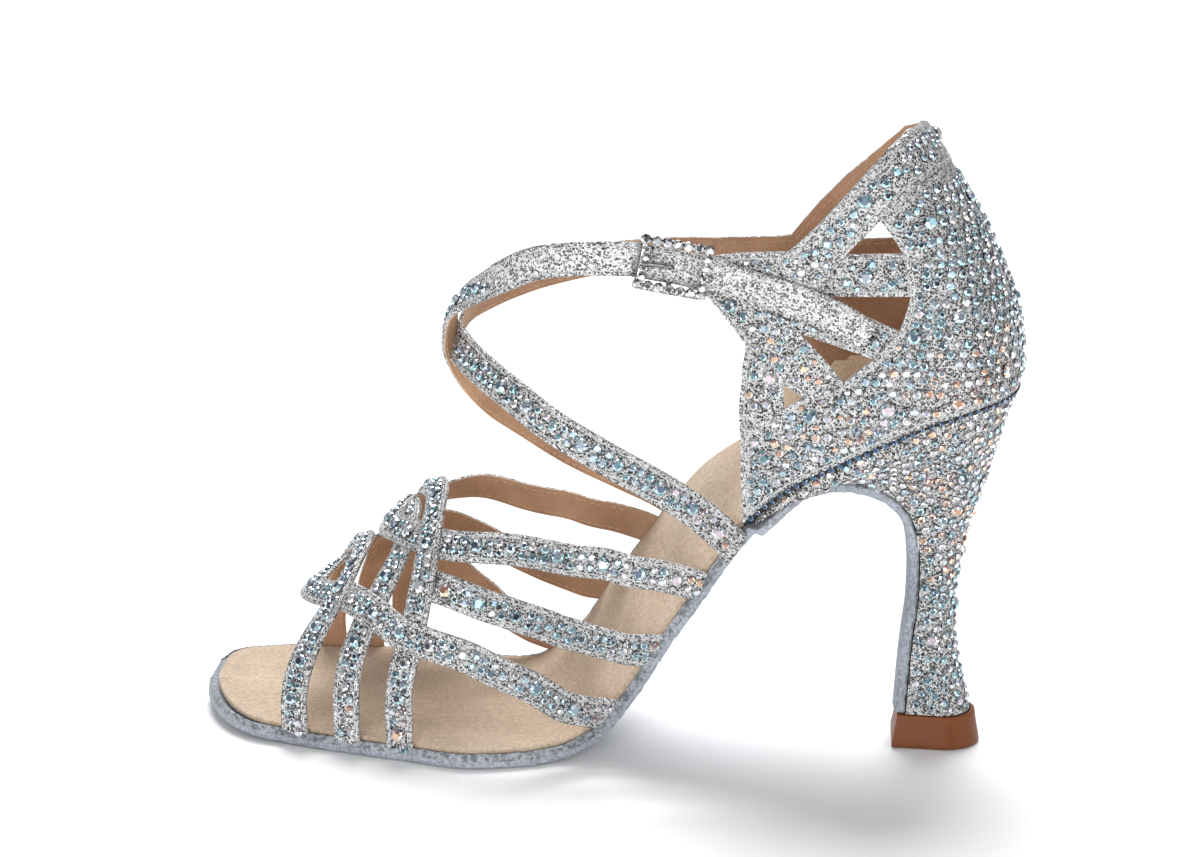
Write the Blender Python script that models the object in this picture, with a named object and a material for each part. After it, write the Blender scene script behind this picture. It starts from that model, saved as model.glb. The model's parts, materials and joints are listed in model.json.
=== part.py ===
"""Ballroom dance sandal, a left shoe that stands on its sole and heel tip.

Metres, +Z up. The toe points along -X, the outer (lateral) side faces -Y and the
inner (medial) side +Y. The origin is the middle of the heel tip's lower face.

Tables give places as shares of the named sizes: "along" runs from 0 at the heel end
of the footbed to 1 at the toe tip, "up" from 0 at the tread to 1 at the heel seat
and 2 at the collar's highest point, and "across" is a share of the ball's width.
"""
import math

import bmesh
import bpy
import numpy as np
from mathutils import Vector
from mathutils.geometry import delaunay_2d_cdt

# Footbed
BED_LENGTH = 0.2035
HEEL_END = 0.016
BALL_WIDTH = 0.0752
SEAT_RISE = 0.0910
TOE_ROUND = 0.10
HEEL_ROUND = 0.09

# Sole
INSOLE_THICKNESS = 0.0015
OUTSOLE_THICKNESS = 0.0026
SHANK_THICKNESS = 0.0020
FLAP_THICKNESS = 0.0022
SOLE_MARGIN = 0.0022
SOLE_EDGE = 0.0008
FLAP_INSET = 0.0004
FLAP_BULGE = 0.0008

# Heel
SEAT_WIDTH = 0.0550
HEEL_WAIST_WIDTH = 0.0132
HEEL_FOOT_WIDTH = 0.0160
TIP_HEIGHT = 0.0084
TIP_FRONT = 0.0112
TIP_BACK = 0.0110
TIP_FLARE = 0.0012

# Upper
COLLAR_RISE = 0.063
ANKLE_WIDTH = 0.0455
QUARTER_WALL = 0.0016
BACK_ROUND = 0.0205
STRAP_THICKNESS = 0.0013
CROSS_BAND_WIDTH = 0.0072
SIDE_BAND_WIDTH = 0.0080
ANKLE_STRAP_WIDTH = 0.0082
WEAVE_STEP = 0.0005
INSTEP_HEIGHT = 0.108

# Buckle
BUCKLE_LENGTH = 0.0170
BUCKLE_BAR = 0.0016
BUCKLE_ROOM = 0.0008
PRONG_DIAMETER = 0.0010
PRONG_HOLE = 0.0022
TAB_WIDTH = 0.0080

FIT = 0.0003
BAND_ROOM = 0.0005
TREAD_TOP = OUTSOLE_THICKNESS + FIT + INSOLE_THICKNESS
SEAT_TOP = TREAD_TOP + SEAT_RISE

# Footbed sections from heel to toe: height, skew of the section line, and both edges
BED = {
    "along":   (0.000, 0.040, 0.088, 0.157, 0.226, 0.290, 0.339, 0.378, 0.415,
                0.453, 0.494, 0.543, 0.575, 0.619, 0.678, 0.747, 0.816, 0.890, 0.946, 1.000),
    "up":      (1.000, 0.990, 0.960, 0.898, 0.828, 0.758, 0.676, 0.566, 0.438,
                0.305, 0.147, 0.030, 0.006, 0.000, 0.000, 0.000, 0.000, 0.005, 0.014, 0.037),
    "skew":    (0.00, 0.00, 0.00, 0.03, 0.10, 0.20, 0.28, 0.31, 0.31,
                0.30, 0.28, 0.28, 0.28, 0.25, 0.18, 0.12, 0.06, 0.00, 0.00, 0.00),
    "lateral": (0.338, 0.338, 0.340, 0.350, 0.332, 0.306, 0.286, 0.273, 0.266,
                0.263, 0.262, 0.276, 0.307, 0.357, 0.390, 0.334, 0.275, 0.208, 0.168, 0.115),
    "medial":  (0.338, 0.338, 0.340, 0.350, 0.332, 0.312, 0.303, 0.306, 0.326,
                0.359, 0.412, 0.479, 0.525, 0.572, 0.598, 0.612, 0.606, 0.585, 0.590, 0.645),
}

# Front end of the heel seat in the table above
SEAT_FRONT = 0.290

# Outer face of the suede from the shank, over the arch and down the heel's breast
BREAST = {
    "along": (0.325, 0.299, 0.270, 0.240, 0.211, 0.185, 0.159, 0.139, 0.127,
              0.121, 0.121, 0.125, 0.129, 0.133),
    "up":    (0.607, 0.638, 0.674, 0.703, 0.713, 0.705, 0.683, 0.645, 0.590,
              0.496, 0.374, 0.291, 0.191, 0.044),
}

# Front end of the heel block under the seat, and where the sole's skew ends on the breast
HEEL_FRONT = 0.304
SKEW_FADE = 0.20

# Heel rings from the seat down: place on the breast, place of the back, widths
HEEL = {
    "breast": (0.00, 0.03, 0.16, 0.28, 0.38, 0.46, 0.53, 0.62, 0.73, 0.82, 0.91, 0.97, 1.00),
    "back":   (-0.003, 0.003, 0.009, 0.018, 0.025, 0.034, 0.045, 0.054, 0.060, 0.060,
               0.054, 0.044, 0.036),
    "up":     (0.978, 0.945, 0.896, 0.819, 0.749, 0.680, 0.600, 0.489, 0.373, 0.295,
               0.198, 0.100, 0.038),
    "width":  (1.00, 0.99, 0.90, 0.74, 0.57, 0.42, 0.29, 0.16, 0.03, 0.00,
               0.02, 0.05, 0.07),
    "column": (0.0, 0.0, 0.1, 0.3, 0.5, 0.75, 1.0, 1.0, 1.0, 1.0, 1.0, 1.0, 1.0),
}

# Back line of the quarter
BACK = {
    "up":    (0.95, 1.05, 1.14, 1.23, 1.33, 1.43, 1.54, 1.65, 1.77, 1.87, 1.95, 2.02),
    "along": (-0.008, -0.012, -0.012, -0.008, 0.000, 0.012, 0.027, 0.044, 0.067, 0.085,
              0.101, 0.116),
}

# Quarter's edge on one side, from the back of the collar to the sole
COLLAR_EDGE = {
    "along":   (0.130, 0.152, 0.180, 0.207, 0.235, 0.256, 0.270, 0.289, 0.332, 0.357, 0.372, 0.345,
                0.319, 0.323, 0.325, 0.323),
    "lateral": (1.985, 1.885, 1.855, 1.766, 1.664, 1.597, 1.556, 1.553, 1.546, 1.532, 1.406, 1.300,
                1.195, 1.090, 0.986, 0.847),
    "medial":  (1.935, 1.864, 1.782, 1.706, 1.611, 1.528, 1.470, 1.463, 1.459, 1.457, 1.390, 1.300,
                1.195, 1.090, 0.986, 0.847),
}
FRONT_FOOT = 0.320

# Cut-outs of each side, as corners
CUTOUTS = {
    "lateral": (
        ((0.164, 1.683), (0.137, 1.560), (0.204, 1.551)),
        ((0.235, 1.390), (0.127, 1.400), (0.139, 1.268)),
        ((0.256, 1.246), (0.168, 1.159), (0.203, 1.062)),
        ((0.273, 1.041), (0.249, 0.998), (0.272, 0.963)),
    ),
    "medial": (
        ((0.167, 1.590), (0.137, 1.462), (0.204, 1.452)),
        ((0.235, 1.325), (0.127, 1.335), (0.139, 1.240)),
        ((0.256, 1.147), (0.168, 1.060), (0.203, 1.013)),
        ((0.273, 1.041), (0.249, 0.998), (0.272, 0.963)),
    ),
}

# Height of the vamp's ridge above the tread, as a share of the instep height
RIDGE = {
    "along": (0.264, 0.422, 0.555, 0.690, 0.783, 0.865, 0.953, 1.000),
    "up":    (1.14, 1.000, 0.815, 0.606, 0.458, 0.315, 0.222, 0.13),
}

# Roundness of the vamp's arch, and how much its ridge is flattened
ARCH_POWER = 2.1
RIDGE_FLATTENING = 0.10

# Vamp bands on the lateral half: place along, angle round the arch, weave level
CROSS_BANDS = {
    "front": {
        "along": (0.871, 0.874, 0.868, 0.855, 0.841, 0.823, 0.810, 0.800),
        "angle": (-6, 14, 28, 39, 48, 58, 72, 90),
        "level": (0.0, 0.0, 0.3, 1.0, 1.0, 1.0, 0.6, 0.4),
    },
    "middle": {
        "along": (0.810, 0.811, 0.809, 0.803, 0.788, 0.774, 0.760, 0.746, 0.739),
        "angle": (-6, 14, 22, 30, 40, 47, 55, 66, 90),
        "level": (0.0, 0.0, -0.5, -1.0, -1.0, -1.0, -1.0, -1.0, -1.0),
    },
    "rear": {
        "along": (0.749, 0.751, 0.749, 0.740, 0.728, 0.719, 0.713, 0.707, 0.700),
        "angle": (-6, 10, 18, 26, 37, 46, 56, 70, 90),
        "level": (0.0, 0.0, -0.7, -1.0, 0.2, 1.0, 1.0, 0.6, 0.4),
    },
}
V_BANDS = {
    "front": {
        "along": (0.487, 0.524, 0.571, 0.608, 0.641, 0.681, 0.715, 0.748, 0.771, 0.799,
                  0.832, 0.857, 0.871),
        "angle": (-4, 2, 7, 12, 16, 22, 26, 31, 38, 48, 63, 76, 90),
        "level": (0.0, 0.0, 0.0, 0.2, 0.6, 1.0, 1.0, 1.0, 1.0, 0.4, -1.0, -0.4, 0.0),
    },
    "rear": {
        "along": (0.381, 0.412, 0.459, 0.513, 0.571, 0.619, 0.658, 0.695, 0.718, 0.743, 0.761),
        "angle": (-8, 2, 14, 26, 34, 41, 47, 54, 61, 73, 90),
        "level": (0.0, 0.0, 0.0, 0.0, 0.0, -0.2, -0.8, -1.0, -0.4, 1.0, 1.0),
    },
}
SHORT_BAND = {
    "along": (0.431, 0.462, 0.494, 0.532, 0.579, 0.625, 0.658, 0.696, 0.712),
    "angle": (-6, 1, 8, 15, 21, 27, 32, 39, 42),
    "level": (0.0, 0.0, 0.0, 0.0, 0.0, -0.2, -0.6, -1.0, -1.0),
}

# Straps over the instep: middle line, from the sole edge to the wing or buckle
INSTEP_STRAP = {
    "along":  (0.312, 0.332, 0.365, 0.407, 0.487, 0.553, 0.597, 0.636, 0.656, 0.648, 0.628,
               0.605, 0.571, 0.509, 0.446, 0.401),
    "up":     (0.530, 0.588, 0.660, 0.729, 0.829, 0.905, 0.963, 1.022, 1.080, 1.170, 1.225,
               1.268, 1.310, 1.352, 1.375, 1.384),
    "across": (-0.320, -0.318, -0.330, -0.345, -0.345, -0.293, -0.200, -0.040, 0.080, 0.150, 0.200,
               0.253, 0.306, 0.340, 0.346, 0.346),
}
ANKLE_STRAP = {
    "along":  (0.396, 0.433, 0.484, 0.545, 0.602, 0.636, 0.662, 0.680, 0.686, 0.681,
               0.665, 0.637, 0.608, 0.566, 0.513, 0.452),
    "up":     (0.510, 0.560, 0.610, 0.675, 0.770, 0.840, 0.925, 1.020, 1.110, 1.210,
               1.285, 1.350, 1.413, 1.483, 1.519, 1.530),
    "across": (0.345, 0.360, 0.372, 0.372, 0.319, 0.255, 0.175, 0.105, 0.060, 0.015,
               -0.045, -0.110, -0.173, -0.253, -0.319, -0.352),
}
STRAP_TAIL = {
    "along": (0.357, 0.335, 0.294, 0.256, 0.213, 0.173),
    "up":    (1.470, 1.442, 1.405, 1.370, 1.315, 1.240),
}

# Where the instep strap's end lies on the medial wing
WING_LAP = ((0.360, 1.384), (0.340, 1.384))

# Where the buckle's tab meets the lateral wing
TAB_END = (0.3655, 1.455)

# Line inside the instep that the two straps turn round, and their outward lean
SPINE_FRONT = 0.57
SPINE_BACK = 0.26
SPINE_ACROSS = 0.04
STRAP_LEAN = 0.15
FRONT_LEAN = 0.50

COLOURS = {
    "outsole": ((0.45, 0.50, 0.56), 0.95, 0.0),
    "insole": ((0.62, 0.50, 0.35), 0.95, 0.0),
    "heel": ((0.62, 0.64, 0.66), 0.4, 0.5),
    "heel_tip": ((0.28, 0.11, 0.035), 0.2, 0.0),
    "quarter": ((0.62, 0.64, 0.66), 0.4, 0.5),
    "vamp": ((0.64, 0.66, 0.68), 0.4, 0.5),
    "instep_strap": ((0.64, 0.66, 0.68), 0.4, 0.5),
    "ankle_strap": ((0.66, 0.67, 0.68), 0.4, 0.5),
    "buckle": ((0.75, 0.75, 0.77), 0.12, 1.0),
    "buckle_prong": ((0.72, 0.72, 0.74), 0.15, 1.0),
    "buckle_tab": ((0.64, 0.66, 0.68), 0.4, 0.5),
}


def smooth(xs, ys):
    """A smooth curve through a table's rows that doesn't overshoot them."""
    xs = np.array(xs, float)
    ys = np.array(ys, float)
    order = np.argsort(xs)
    xs, ys = xs[order], ys[order]
    steps = np.diff(xs)
    rises = np.diff(ys) / steps
    slopes = np.concatenate(([rises[0]], 0.5 * (rises[:-1] + rises[1:]), [rises[-1]]))
    for i in range(1, len(xs) - 1):
        before, after = rises[i - 1], rises[i]
        slopes[i] = 2.0 * before * after / (before + after) if before * after > 0.0 else 0.0

    def curve(x):
        x = np.clip(np.asarray(x, float), xs[0], xs[-1])
        i = np.clip(np.searchsorted(xs, x) - 1, 0, len(steps) - 1)
        t = (x - xs[i]) / steps[i]
        t2, t3 = t * t, t * t * t
        return ((2 * t3 - 3 * t2 + 1) * ys[i] + (t3 - 2 * t2 + t) * steps[i] * slopes[i]
                + (3 * t2 - 2 * t3) * ys[i + 1] + (t3 - t2) * steps[i] * slopes[i + 1])

    return curve


def spline(rows, count):
    """Points evenly spaced on a smooth path through the rows, an array with a row a point."""
    rows = np.array(rows, float)
    padded = np.vstack((2 * rows[0] - rows[1], rows, 2 * rows[-1] - rows[-2]))
    fine = []
    for i in range(1, len(padded) - 2):
        before, start, end, after = padded[i - 1:i + 3]
        for t in np.linspace(0.0, 1.0, 24, endpoint=False):
            fine.append(0.5 * (2 * start + (end - before) * t
                               + (2 * before - 5 * start + 4 * end - after) * t ** 2
                               + (3 * start - before - 3 * end + after) * t ** 3))
    fine.append(rows[-1])
    return even(np.array(fine), count)


def even(points, count):
    """The same path with evenly spaced points; further columns are carried along."""
    lengths = np.linalg.norm(np.diff(points[:, :3], axis=0), axis=1)
    places = np.concatenate(([0.0], np.cumsum(lengths)))
    wanted = np.linspace(0.0, places[-1], count)
    return np.stack([np.interp(wanted, places, column) for column in points.T], axis=1)


def unit(vectors):
    """Vectors of length one."""
    return vectors / np.linalg.norm(vectors, axis=-1, keepdims=True)


def along_x(along):
    """Lengthwise place of a share of the footbed."""
    return HEEL_END - np.asarray(along, float) * BED_LENGTH


def up_z(up):
    """Height of a share of the seat's and the collar's rise."""
    up = np.asarray(up, float)
    return TREAD_TOP + SEAT_RISE * np.minimum(up, 1.0) + COLLAR_RISE * np.maximum(up - 1.0, 0.0)


BED_UP = smooth(BED["along"], BED["up"])
BED_SKEW = smooth(BED["along"], BED["skew"])
BED_LATERAL = smooth(BED["along"], BED["lateral"])
BED_MEDIAL = smooth(BED["along"], BED["medial"])
SEAT_HALF = BALL_WIDTH * float(np.max(BED_LATERAL(np.linspace(0.0, SEAT_FRONT, 30))))
RIDGE_UP = smooth(RIDGE["along"], RIDGE["up"])
HEEL_STEPS = np.linspace(0.0, 1.0, len(HEEL["up"]))
HEEL_WAIST = HEEL["width"].index(min(HEEL["width"]))


def end_rounding(along):
    """Share of the width that the round toe and heel leave at a place."""
    into_toe = max(0.0, (along - 1.0 + TOE_ROUND) / TOE_ROUND)
    into_heel = max(0.0, (HEEL_ROUND - along) / HEEL_ROUND)
    return math.sqrt(max(0.0, 1.0 - max(into_toe, into_heel) ** 2))


def bed_edges(along, grow=0.0):
    """Lateral and medial edge points of the footbed, its outline grown by a margin."""
    lateral = BALL_WIDTH * float(BED_LATERAL(along)) + grow
    medial = BALL_WIDTH * float(BED_MEDIAL(along)) + grow
    middle = 0.5 * (medial - lateral)
    half = 0.5 * (medial + lateral) * end_rounding(along)
    x = float(along_x(along))
    toe_start = float(along_x(1.0 - TOE_ROUND))
    heel_start = float(along_x(HEEL_ROUND))
    if x < toe_start:
        x += (x - toe_start) * grow / (TOE_ROUND * BED_LENGTH)
    if x > heel_start:
        x += (x - heel_start) * grow / (HEEL_ROUND * BED_LENGTH)
    z = float(up_z(BED_UP(along)))
    skew = float(BED_SKEW(along))
    edges = []
    for y in (middle - half, middle + half):
        edges.append(np.array((x - skew * y, y, z)))
    return edges


def bed_normal(along):
    """Upward normal of the footbed's middle line."""
    step = 0.002
    run = float(along_x(along + step) - along_x(along - step))
    rise = float(up_z(BED_UP(along + step)) - up_z(BED_UP(along - step)))
    return unit(np.array((rise, 0.0, -run)))


def bed_places(first, last, count):
    """Shares along the bed, closer together towards its two round ends."""
    turns = np.linspace(0.0, math.pi, count)
    return first + (last - first) * 0.5 * (1.0 - np.cos(turns))


def slab_section(left, right, top_normal, thickness, bulge=0.0):
    """Ring of a thin slab between two edge points, its edges rounded."""
    half = 0.5 * np.linalg.norm(right - left)
    ease = min(SOLE_EDGE, 0.45 * half) / half
    shape = ((-1.0, 0.32), (-1.0 + ease, 0.0), (-0.5, 0.0), (0.0, 0.0), (0.5, 0.0), (1.0 - ease, 0.0),
             (1.0, 0.32), (1.0, 0.68), (1.0 - ease, 1.0), (0.5, 1.0), (0.0, 1.0), (-0.5, 1.0),
             (-1.0 + ease, 1.0), (-1.0, 0.68))
    middle = 0.5 * (left + right)
    ring = []
    for side, depth in shape:
        crown = bulge * (1.0 - side * side) - bulge
        ring.append(middle + side * 0.5 * (right - left) - top_normal * (depth * thickness + crown))
    return ring


def mesh_object(name, points, faces):
    """A named object with its own material from plain points and faces."""
    mesh = bpy.data.meshes.new(name)
    mesh.from_pydata([tuple(map(float, point)) for point in points], [], faces)
    mesh.validate()
    solid = bpy.data.objects.new(name, mesh)
    bpy.context.scene.collection.objects.link(solid)
    face_outwards(mesh)
    return solid


def face_outwards(mesh):
    """Turns every face of a closed mesh to the outside."""
    shape = bmesh.new()
    shape.from_mesh(mesh)
    bmesh.ops.recalc_face_normals(shape, faces=shape.faces)
    if shape.calc_volume(signed=True) < 0.0:
        bmesh.ops.reverse_faces(shape, faces=shape.faces)
    shape.to_mesh(mesh)
    shape.free()


def finish(solid, angle=40.0):
    """Gives a sub-part its material and smooth shading."""
    colour, roughness, metallic = COLOURS[solid.name]
    material = bpy.data.materials.new(solid.name)
    material.use_nodes = True
    shader = material.node_tree.nodes["Principled BSDF"]
    shader.inputs["Base Color"].default_value = (*colour, 1.0)
    shader.inputs["Roughness"].default_value = roughness
    shader.inputs["Metallic"].default_value = metallic
    solid.data.materials.clear()
    solid.data.materials.append(material)
    solid.data.shade_smooth()
    solid.data.set_sharp_from_angle(angle=math.radians(angle))
    return solid


def loft(name, rings, paired_caps=True):
    """A closed solid through equal rings of points, which start at the left edge."""
    count = len(rings[0])
    points = [point for ring in rings for point in ring]
    faces = []
    for r in range(len(rings) - 1):
        for i in range(count):
            j = (i + 1) % count
            faces.append((r * count + i, r * count + j, (r + 1) * count + j, (r + 1) * count + i))
    for first in (0, (len(rings) - 1) * count):
        if paired_caps:
            faces += [(first + i, first + i + 1, first + count - 2 - i, first + count - 1 - i)
                      for i in range(count // 2 - 1)]
        else:
            faces.append(tuple(range(first, first + count)))
    return mesh_object(name, points, faces)


def boolean(target, other, operation):
    """Joins or cuts a solid with another one, which is then removed."""
    modifier = target.modifiers.new(operation.lower(), "BOOLEAN")
    modifier.operation = operation
    modifier.object = other
    modifier.solver = "EXACT"
    depsgraph = bpy.context.evaluated_depsgraph_get()
    result = bpy.data.meshes.new_from_object(target.evaluated_get(depsgraph))
    target.modifiers.clear()
    target.data = result
    bpy.data.objects.remove(other)


def keep_main_body(solid):
    """Drops the small shells that a Boolean leaves apart from the main one."""
    shape = bmesh.new()
    shape.from_mesh(solid.data)
    shells = []
    waiting = set(shape.verts)
    while waiting:
        shell = set()
        edge_of_shell = [waiting.pop()]
        while edge_of_shell:
            vert = edge_of_shell.pop()
            shell.add(vert)
            for edge in vert.link_edges:
                other = edge.other_vert(vert)
                if other in waiting:
                    waiting.remove(other)
                    edge_of_shell.append(other)
        shells.append(shell)
    largest = max(shells, key=len)
    for shell in shells:
        if shell is not largest:
            bmesh.ops.delete(shape, geom=list(shell), context="VERTS")
    shape.to_mesh(solid.data)
    shape.free()


def make_insole():
    """Padded sock on the whole footbed."""
    rings = []
    for along in bed_places(0.004, 0.997, 42):
        left, right = bed_edges(along)
        rings.append(slab_section(left, right, bed_normal(along), INSOLE_THICKNESS))
    return finish(loft("insole", rings))


def breast_path(count):
    """Outer face of the suede over the arch and down the breast, as x and z."""
    rows = np.stack((along_x(BREAST["along"]), up_z(BREAST["up"])), axis=1)
    return spline(rows, count)


def path_normals(path):
    """Normals of an x and z path that runs back from the toe, towards its upper side."""
    tangents = unit(np.gradient(path, axis=0))
    return np.stack((-tangents[:, 1], tangents[:, 0]), axis=1)


def heel_row(share):
    """Values of the heel's table at a share of the way down."""
    return {name: float(smooth(HEEL_STEPS, HEEL[name])(share)) for name in HEEL}


def heel_half(row):
    """Half width of a heel ring."""
    if row["up"] < HEEL["up"][HEEL_WAIST]:
        wide = HEEL_FOOT_WIDTH
        reach = row["width"] / HEEL["width"][-1]
    else:
        wide = SEAT_WIDTH
        reach = row["width"]
    return 0.5 * (HEEL_WAIST_WIDTH + (wide - HEEL_WAIST_WIDTH) * reach)


def column_profile(share, length, half):
    """Half width of the heel's column, straight in front and round at the back."""
    round_start = 1.0 - min(0.6, half / length)
    if share <= round_start:
        return 0.90 + 0.10 * share / round_start
    into = (share - round_start) / (1.0 - round_start)
    return math.sqrt(max(0.0, 1.0 - into * into))


def seat_profile(share):
    """Half width of the heel's seat, following the footbed's outline."""
    along = HEEL_FRONT * (1.0 - share)
    lateral, medial = bed_edges(along)
    return (medial[1] - lateral[1]) / (2.0 * SEAT_HALF)


def breast_skew(along, breast):
    """Skew of a section that fades out down the breast."""
    return float(BED_SKEW(along)) * max(0.0, 1.0 - breast / SKEW_FADE)


def heel_front(places):
    """Front line of the heel block, behind the suede flap."""
    path = breast_path(120)
    inner = path + path_normals(path) * (FLAP_THICKNESS + FIT + FLAP_BULGE)
    shares = np.linspace(0.0, 1.0, len(path))
    return np.stack([np.interp(places, shares, column) for column in inner.T], axis=1)


def heel_front_half(breast):
    """Half width of the heel's front edge at a place on the breast."""
    share = np.interp(breast, HEEL["breast"], HEEL_STEPS)
    row = heel_row(share)
    half = heel_half(row)
    return half * ((1.0 - row["column"]) * seat_profile(0.0) + row["column"] * 0.90)


def make_heel():
    """Flared heel: seat, neck and column, one block."""
    rings = []
    shares = 0.5 * (1.0 - np.cos(np.linspace(0.0, math.pi, 12)))
    for step in np.linspace(0.0, 1.0, 23):
        row = heel_row(step)
        half = heel_half(row)
        front = heel_front([row["breast"]])[0]
        back = np.array((float(along_x(row["back"])), float(up_z(row["up"]))))
        bottom = TIP_HEIGHT + FIT
        front[1] = max(front[1], bottom)
        back[1] = max(back[1], bottom)
        if step == 1.0:
            front[1] = back[1] = bottom
        length = np.linalg.norm(back - front)
        side = []
        for share in shares:
            place = front + (back - front) * share
            blend = 1.0 - row["column"]
            width = half * (blend * seat_profile(share * 0.985)
                            + row["column"] * column_profile(share * 0.995, length, half))
            sag = seat_height(share) * blend * max(0.0, 1.0 - 3.0 * step)
            skew = breast_skew(HEEL_FRONT * (1.0 - share), row["breast"])
            side.append((place[0], skew * width, width, place[1] + sag))
        ring = [np.array((x + shift, -y, z)) for x, shift, y, z in side]
        ring += [np.array((x - shift, y, z)) for x, shift, y, z in reversed(side)]
        rings.append(ring)
    rings[0] = seat_ring(shares)
    return finish(loft("heel", rings))


def seat_height(share):
    """How far the seat's curve stands above a straight line from its front to its back."""
    along = HEEL_FRONT * (1.0 - share)
    here = float(up_z(BED_UP(along)))
    start = float(up_z(BED_UP(HEEL_FRONT)))
    end = float(up_z(BED_UP(0.0)))
    return here - (start + (end - start) * share)


def seat_ring(shares):
    """Top ring of the heel, under the insole and the quarter's lower edge."""
    margin = 0.5 * QUARTER_WALL + FIT
    ring_left, ring_right = [], []
    for share in shares:
        along = (HEEL_FRONT - 0.006) * (1.0 - share * 0.998)
        left, right = bed_edges(along, margin)
        drop = bed_normal(along) * (INSOLE_THICKNESS + FIT)
        ring_left.append(left - drop)
        ring_right.append(right - drop)
    return ring_left + ring_right[::-1]


def make_heel_tip():
    """D-shaped top piece, straight in front and flared to the floor."""
    rings = []
    for height, flare in ((0.0, 0.5), (0.0005, 1.0), (TIP_HEIGHT * 0.5, 0.45), (TIP_HEIGHT - 0.0004, 0.0),
                          (TIP_HEIGHT, -0.3)):
        grow = TIP_FLARE * flare
        half = 0.5 * HEEL_FOOT_WIDTH + grow
        front = -TIP_FRONT + TIP_FLARE - grow
        back = TIP_BACK - TIP_FLARE + grow
        length = back - front
        side = []
        for share in 0.5 * (1.0 - np.cos(np.linspace(0.0, math.pi, 13))):
            width = half * column_profile(share * 0.995, length, half)
            side.append((front + length * share, width, height))
        ring = [np.array((x, -y, z)) for x, y, z in side]
        ring += [np.array((x, y, z)) for x, y, z in reversed(side)]
        rings.append(ring)
    return finish(loft("heel_tip", rings))


def make_outsole():
    """Suede sole: tread and shank under the footbed, then the flap down the breast."""
    rings = []
    for along in bed_places(0.997, 0.0, 76):
        if along < 0.350:
            break
        left, right = bed_edges(along, SOLE_MARGIN)
        normal = bed_normal(along)
        drop = normal * (INSOLE_THICKNESS + FIT)
        thin = min(1.0, max(0.0, (0.60 - along) / 0.12))
        thickness = OUTSOLE_THICKNESS + (SHANK_THICKNESS - OUTSOLE_THICKNESS) * thin
        rings.append(slab_section(left - drop, right - drop, normal, thickness))
    path = breast_path(32)
    normals = path_normals(path)
    bottom = TIP_HEIGHT + 2.0 * FIT
    for i, (place, normal) in enumerate(zip(path, normals)):
        breast = i / (len(path) - 1)
        half = heel_front_half(breast) - FLAP_INSET
        skew = breast_skew(BREAST["along"][0], breast)
        bulge = FLAP_BULGE * min(1.0, breast / 0.3)
        up = np.array((normal[0], 0.0, normal[1]))
        top = np.array((place[0], 0.0, place[1])) + up * FLAP_THICKNESS
        top[2] = max(top[2], bottom)
        left = top + np.array((skew * half, -half, 0.0))
        right = top + np.array((-skew * half, half, 0.0))
        rings.append(slab_section(left, right, up, FLAP_THICKNESS, bulge))
    return finish(loft("outsole", rings))


def edge_line(side):
    """Edge of the footbed on one side as x, distance from the middle plane and z."""
    rows = []
    for along in np.linspace(0.0, 0.7, 120):
        point = bed_edges(along)[0 if side < 0 else 1]
        rows.append((point[0], abs(point[1]), point[2]))
    return np.array(rows[::-1])


EDGES = {side: edge_line(side) for side in (-1, 1)}
BACK_ALONG = smooth(BACK["up"], BACK["along"])
BACK_LEVELS = np.linspace(0.0, 2.1, 106)


def back_x(z):
    """Back line of the quarter's outer face at a height."""
    return float(np.interp(z, up_z(BACK_LEVELS), along_x(BACK_ALONG(BACK_LEVELS))))


def seat_edge(x, side):
    """Half width and height of the footbed's edge at a lengthwise place."""
    line = EDGES[side]
    inner = min(x, float(along_x(HEEL_ROUND)))
    return float(np.interp(inner, line[:, 0], line[:, 1])), float(np.interp(x, line[:, 0], line[:, 2]))


def wall_point(wrap, z, offset=0.0):
    """Point on the quarter's middle surface: wrap is the way round from the back's middle."""
    side = -1 if wrap < 0.0 else 1
    reach = abs(wrap)
    round_length = 0.5 * math.pi * BACK_ROUND
    start = back_x(z) - BACK_ROUND
    if reach < round_length:
        angle = reach / BACK_ROUND
        x, share = start + (BACK_ROUND - 0.5 * QUARTER_WALL + offset) * math.cos(angle), math.sin(angle)
        half_x = start
    else:
        x, share = start - (reach - round_length), 1.0
        half_x = x
    seat_half, seat_z = seat_edge(half_x, side)
    climb = min(1.0, max(0.0, (z - seat_z) / (SEAT_TOP + COLLAR_RISE - seat_z)))
    climb = climb * climb * (3.0 - 2.0 * climb)
    base = seat_half + FIT + 0.5 * QUARTER_WALL
    half = base + (0.5 * ANKLE_WIDTH - base) * climb
    return np.array((x, side * (half + offset) * share, z))


def wrap_at(along, z, side):
    """Way round the quarter of a place given by its share along the shoe."""
    x = float(along_x(along))
    start = back_x(z) - BACK_ROUND
    round_length = 0.5 * math.pi * BACK_ROUND
    if x <= start:
        return side * (round_length + start - x)
    return side * BACK_ROUND * math.acos(min(1.0, (x - start) / BACK_ROUND))


def lower_edge_z(wrap):
    """Height of the quarter's lower edge, level with the insole's underside."""
    side = -1 if wrap < 0.0 else 1
    z = SEAT_TOP
    for _ in range(12):
        x = wall_point(wrap, z)[0]
        line = EDGES[side]
        z = float(np.interp(x, line[:, 0], line[:, 2])) - INSOLE_THICKNESS
    return z


def subdivided(corners, step):
    """Closed outline with extra points on its long sides."""
    points = []
    for i, corner in enumerate(corners):
        start = np.array(corner)
        end = np.array(corners[(i + 1) % len(corners)])
        count = max(1, round(float(np.linalg.norm(end - start)) / step))
        points += [start + (end - start) * k / count for k in range(count)]
    return points


def inside(point, outline):
    """Whether a point lies inside a closed outline."""
    x, y = point
    hit = False
    for i, a in enumerate(outline):
        b = outline[i - 1]
        if (a[1] > y) != (b[1] > y) and x < (b[0] - a[0]) * (y - a[1]) / (b[1] - a[1]) + a[0]:
            hit = not hit
    return hit


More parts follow.
